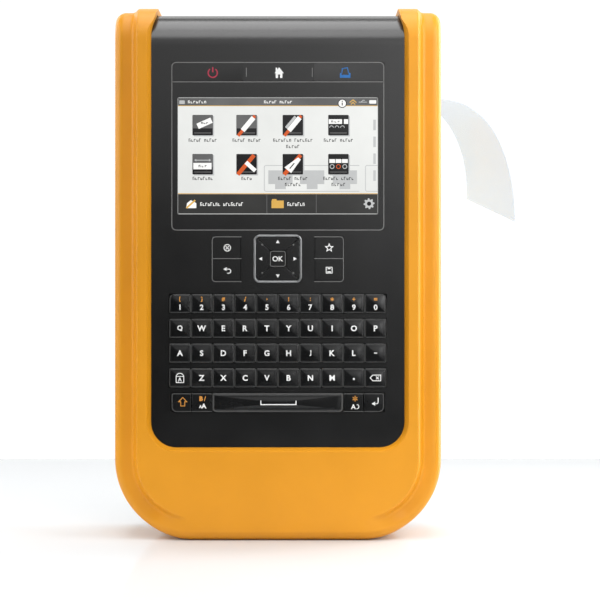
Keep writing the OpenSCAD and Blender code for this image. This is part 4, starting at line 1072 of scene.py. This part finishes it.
# faint drawing behind the tiles
for x0, x1 in ((-6.4, 38.6), (41.5, right)):
    pen("screenPale", filletLine([(x1, 10.6, 0), (x0, 10.6, 0.8), (x0, 22.8, 0.8), (x1, 22.8, 0)]), 0.35, 0)
for x in (-4.5, 10.5, 26.0):
    bar("screenPale", x, 14.0, x + 11.5, 20.5)
    bar("screenPale", x + 3.2, 11.6, x + 8.3, 14.0)
for k in range(4):
    bar("screenPale", 45.2, 15.5 + k * 8, 46.4, 20.5 + k * 8)

# eight tiles by the point tree, then a small picture on each
tileLook = {"half": 4.85, "round": 0.4, "columns": (-35.6, -14.8, 7.1, 28.7), "rows": (41.9, 23.4)}
half = tileLook["half"]
tile = loft("tile", [(roundRect(-half, -half, half, half, tileLook["round"]), o) for o in (0, 0.025)])
spots = [at(x, base + up, layer + 0.03) for up in tileLook["rows"] for x in tileLook["columns"]]
tiles = copies("menu_tiles", tile, spots, inks["screenDark"])
shadeSpots = [p + at(0.6, -0.5, -0.012) for p in spots]
shades = copies("menu_tile_shades", tile, shadeSpots, inks["screenPale"])
bpy.data.objects.remove(tile)
fit(tiles, "housing", "screen_glass", inks["screenDark"])
fit(shades, "housing", "screen_glass", inks["screenPale"])


def slanted(colour, x, up, long, wide, turn, level=3):
    c, s = math.cos(math.radians(turn)), math.sin(math.radians(turn))
    box = [(a * long / 2, b * wide / 2) for a, b in ((-1, -1), (1, -1), (1, 1), (-1, 1))]
    patch(colour, [(x + c * a - s * b, up + s * a + c * b) for a, b in box], level * menuLook["step"])


c1, c2, c3, c4 = tileLook["columns"]
r1, r2 = tileLook["rows"]
for x, up in ((c1, r1), (c2, r1), (c1, r2)):
    bar("screenGrey", x - 4.7, up - 1.5, x + 4.7, up + 4.7, 2.2, 0.3)
for x in tileLook["columns"]:
    for up in tileLook["rows"]:
        bar("screenGrey", x - 4.0, up - 3.9, x + 4.0, up - 3.5, 2.2)
slanted("screenWhite", c1 + 0.9, r1 + 0.9, 7.2, 2.7, 24)
words("screenDark", c1 + 0.9, r1 + 1.0, 3.6, 0.9, 4.5)
for x in (c2, c3):
    slanted("screenOrange", x, r1 - 0.3, 12.4, 1.5, 50, 3)
    slanted("screenWhite", x + 0.7, r1 + 0.5, 8.0, 2.3, 50, 4)
slanted("screenPale", c3 - 1.0, r1 + 1.4, 7.0, 1.2, 50, 3.6)
bar("screenWhite", c4 - 4.6, r1 + 0.6, c4 + 1.7, r1 + 2.8, 3)
bar("screenWhite", c4 + 2.6, r1 + 0.6, c4 + 4.6, r1 + 2.8, 3)
words("screenDark", c4 - 1.4, r1 + 1.7, 4.6, 0.9, 4.5)
for k in range(3):
    pen("screenPale", arc(c4 - 3.3 + k * 2.6, r1 - 1.2, 0.9, 0, 180, 8), 0.3, 0.09)
bar("screenWhite", c1 - 4.4, r2 - 2.4, c1 + 4.2, r2 + 0.6, 3)
words("screenDark", c1, r2 - 0.9, 4.4, 1.1, 4.5)
pen("screenPale", [(c1 - 3.8, r2 + 1.9), (c1 + 3.6, r2 + 1.9)], 0.35, 0.1)
for s in (-1, 1):
    patch("screenPale", [(c1 + s * 4.0, r2 + 1.9), (c1 + s * 3.0, r2 + 2.5), (c1 + s * 3.0, r2 + 1.3)], 0.1)
slanted("screenOrange", c2 - 0.3, r2 - 0.3, 12.0, 1.9, 50, 3)
slanted("screenWhite", c2 + 1.9, r2 - 1.1, 6.0, 1.9, -42, 4)
slanted("screenOrange", c3 - 0.2, r2 - 0.3, 12.2, 1.9, 50, 3)
patch("screenWhite", [(c3 - 4.0, r2 - 1.5), (c3 - 0.8, r2 - 4.2), (c3 + 3.8, r2 + 2.2), (c3 + 2.5, r2 + 3.2)],
      0.12)
slanted("screenDark", c3 - 0.4, r2 - 0.8, 3.4, 0.5, 50, 5)
for k, colour in enumerate(("screenPale", "screenOrange", "screenPale")):
    bar("screenWhite", c4 - 4.3 + k * 3.0, r2 + 0.6, c4 - 1.6 + k * 3.0, r2 + 2.4, 3)
    pen(colour, arc(c4 - 3.0 + k * 3.0, r2 - 1.1, 0.95, 0, 340, 17), 0.35, 0.1, closed=True)
# captions
for x, up, wide in ((c1, 34.8, 13.6), (c2, 34.8, 13.6), (c3, 34.8, 19), (c3, 31.8, 6.6), (c4, 34.8, 14.2),
                    (c1, 16.7, 9.8), (c2, 16.7, 5.2), (c3, 16.7, 14.2), (c3, 13.8, 7.8), (c4, 16.7, 14.6),
                    (c4, 13.8, 7)):
    words("screenDark", x, up, wide)
# foot of the menu: sheet and pencil, folder, wheel
patch("screenWhite", [(-43.4, 2.6), (-38.6, 2.6), (-38.6, 5.0), (-41.2, 6.4), (-43.0, 4.9)], 0.05)
slanted("screenAmber", -41.2, 4.5, 5.6, 0.8, 42, 3)
words("screenWhite", -26.6, 4.5, 20.6, 1.7)
bar("screenAmber", -3.0, 2.6, 2.8, 6.2, 1, 0.2)
bar("screenAmber", -2.8, 6.0, -0.6, 6.9, 1, 0.2)
words("screenWhite", 8.6, 4.5, 8.4, 1.7)
points = [(2.6 if k % 4 in (0, 1) else 1.95, math.radians(11.25 * k)) for k in range(32)]
patch("screenPale", [(43.2 + r * math.cos(a), 4.7 + r * math.sin(a)) for r, a in points], 0.05)
patch("screenDark", arc(43.2, 4.7, 1.0, 0, 345, 23), 0.09)
for name, sheet in ui.items():
    printSheet("menu_" + name[6:].lower(), sheet, "housing", "screen_glass", inks[name])
print("screen done")

# label strip

labelLook = {"front": ((77.75, 210.9), (97.75, 211.0), (113.75, 194.0), (115.25, 152.0)),
             "back": ((77.75, 209.8), (85.75, 205.5), (95.75, 188.0), (94.25, 164.4)),
             "start": (66.6, 210.5), "thick": 0.3, "along": 60, "across": 16}


def buildLabel():
    edge = span("label_strip")
    wide, middle = edge["front"] - edge["rear"], (edge["front"] + edge["rear"]) / 2

    def curve(points, t):
        a, b, c, d = (Vector(p) for p in points)
        return a * (1 - t) ** 3 + b * 3 * t * (1 - t) ** 2 + c * 3 * t * t * (1 - t) + d * t ** 3

    lines = [(Vector(labelLook["start"]), Vector(labelLook["start"]))]
    for k in range(labelLook["along"] + 1):
        t = k / labelLook["along"]
        lines.append((curve(labelLook["front"], t), curve(labelLook["back"], t)))
    grid = []
    for f, b in lines:
        half = math.sqrt(max(1, wide ** 2 - (f - b).length ** 2)) / 2
        row = []
        for j in range(labelLook["across"] + 1):
            s = j / labelLook["across"]
            p = b + (f - b) * s
            row.append(at(p.x, p.y, middle - half + 2 * half * s))
        grid.append(row)
    n = labelLook["across"] + 1
    piece = newPiece("label_strip_sheet", [p for row in grid for p in row], gridFaces(len(grid), n))
    thick = piece.modifiers.new("thickness", "SOLIDIFY")
    thick.thickness = labelLook["thick"] * 0.001
    thick.offset = 0
    bake(piece)
    tidyMesh(piece)
    smooth(piece, 40)
    return fit(piece, "housing", "label_tape", inks["stripFilm"], "label_strip")


buildLabel()
print("label done")

# floor, light and camera

stageLook = {"floor": (0.25, 0.206, 0.42), "floorTint": (0.68, 0.70, 0.715, 1), "floorRough": 0.6,
             "floorGloss": 0.1, "floorShine": 0.3, "shineRough": 0.06, "back": 0.95, "front": 0.03,
             "leanTo": (0.06, 0.95, -0.1), "seen": 1.05}
wideFloor, frontFloor, backFloor = stageLook["floor"]
floor = newPiece("studio_floor", [(-wideFloor, -frontFloor, 0), (wideFloor, -frontFloor, 0),
                                  (wideFloor, backFloor, 0), (-wideFloor, backFloor, 0)], [(0, 1, 2, 3)])
floorPaint = bpy.data.materials.new("studioFloor")
floorPaint.use_nodes = True
paint = floorPaint.node_tree.nodes["Principled BSDF"]
for label, value in (("Base Color", "floorTint"), ("Roughness", "floorRough"),
                     ("Specular IOR Level", "floorGloss"), ("Coat Weight", "floorShine"),
                     ("Coat Roughness", "shineRough")):
    paint.inputs[label].default_value = stageLook[value]
floor.data.materials.append(floorPaint)

world = bpy.data.worlds.new("studio")
world.use_nodes = True
wn, wl = world.node_tree.nodes, world.node_tree.links
wn.clear()
worldOut, mixed = wn.new("ShaderNodeOutputWorld"), wn.new("ShaderNodeMixShader")
seen, lit = wn.new("ShaderNodeBackground"), wn.new("ShaderNodeBackground")
seen.inputs["Color"].default_value = (1, 1, 1, 1)
seen.inputs["Strength"].default_value = stageLook["seen"]
lit.inputs["Color"].default_value = (1.0, 0.99, 0.975, 1)
way, lean, level = wn.new("ShaderNodeTexCoord"), wn.new("ShaderNodeVectorMath"), wn.new("ShaderNodeMapRange")
lean.operation = "DOT_PRODUCT"   # bright behind, dark in front
lean.inputs[1].default_value = stageLook["leanTo"]
level.inputs["From Min"].default_value, level.inputs["From Max"].default_value = 0.0, 0.95
level.inputs["To Min"].default_value, level.inputs["To Max"].default_value = stageLook["front"], stageLook["back"]
wl.new(way.outputs["Generated"], lean.inputs[0])
wl.new(lean.outputs["Value"], level.inputs["Value"])
wl.new(level.outputs["Result"], lit.inputs["Strength"])
path = wn.new("ShaderNodeLightPath")
wl.new(path.outputs["Is Camera Ray"], mixed.inputs["Fac"])
wl.new(lit.outputs["Background"], mixed.inputs[1])
wl.new(seen.outputs["Background"], mixed.inputs[2])
wl.new(mixed.outputs["Shader"], worldOut.inputs["Surface"])
scene.world = world


def areaLight(name, place, target, size, power, colour=(1, 1, 1)):
    data = bpy.data.lights.new(name, "AREA")
    data.shape = "RECTANGLE"
    data.size, data.size_y = size
    data.energy = power
    data.color = colour
    lamp = bpy.data.objects.new(name, data)
    scene.collection.objects.link(lamp)
    lamp.location = place
    lamp.rotation_euler = (Vector(target) - Vector(place)).to_track_quat("-Z", "Y").to_euler()
    return lamp


middle = Vector((0, 0, cadBox[1].z / 2))
# place, aim, size and power of each panel
panels = {"overhead": ((-0.03, -0.13, 1.45), Vector((-0.03, -0.1299, 0)), (0.75, 1.0), 10.0),
          "overheadBack": ((0, 0.95, 1.20), middle, (1.6, 0.6), 3.2),
          "frontHigh": ((-0.03, -0.88, 1.20), middle, (0.6, 0.62), 4.2),
          "frontAbove": ((0.0, -1.60, 0.76), middle, (0.9, 0.94), 1.9),
          "frontMiddle": ((0.38, -1.60, 0.58), middle, (0.66, 0.9), 0.8),
          "frontRight": ((0.58, -1.50, 0.42), middle, (0.36, 0.7), 4.2),
          "nearRight": ((0.27, -0.17, 0.29), middle, (0.18, 0.34), 0.88),
          "rimRight": ((0.39, 0.11, 0.18), middle, (0.12, 0.42), 1.4),
          "nearLeft": ((-0.70, -0.16, 0.38), middle, (0.7, 0.7), 4.2),
          "behindLeft": ((-0.95, 0.85, 0.70), middle, (0.6, 0.8), 4.5),
          "behindRight": ((0.95, 0.75, 0.60), middle, (0.6, 0.8), 5.5)}
for label, (place, target, size, power) in panels.items():
    areaLight(label, place, target, size, power)

cameraLook = {"place": (0.0105, -0.9, 0.1138), "focal": 110.63, "sensor": 36}
lens = bpy.data.cameras.new("camera")
lens.lens = cameraLook["focal"]
lens.sensor_width = cameraLook["sensor"]
lens.clip_start = 0.01
lens.clip_end = 30
camera = bpy.data.objects.new("camera", lens)
camera.location = cameraLook["place"]
camera.rotation_euler = (math.radians(90), 0, 0)
scene.collection.objects.link(camera)
scene.camera = camera
scene.view_settings.view_transform = "Standard"
print("stage done")
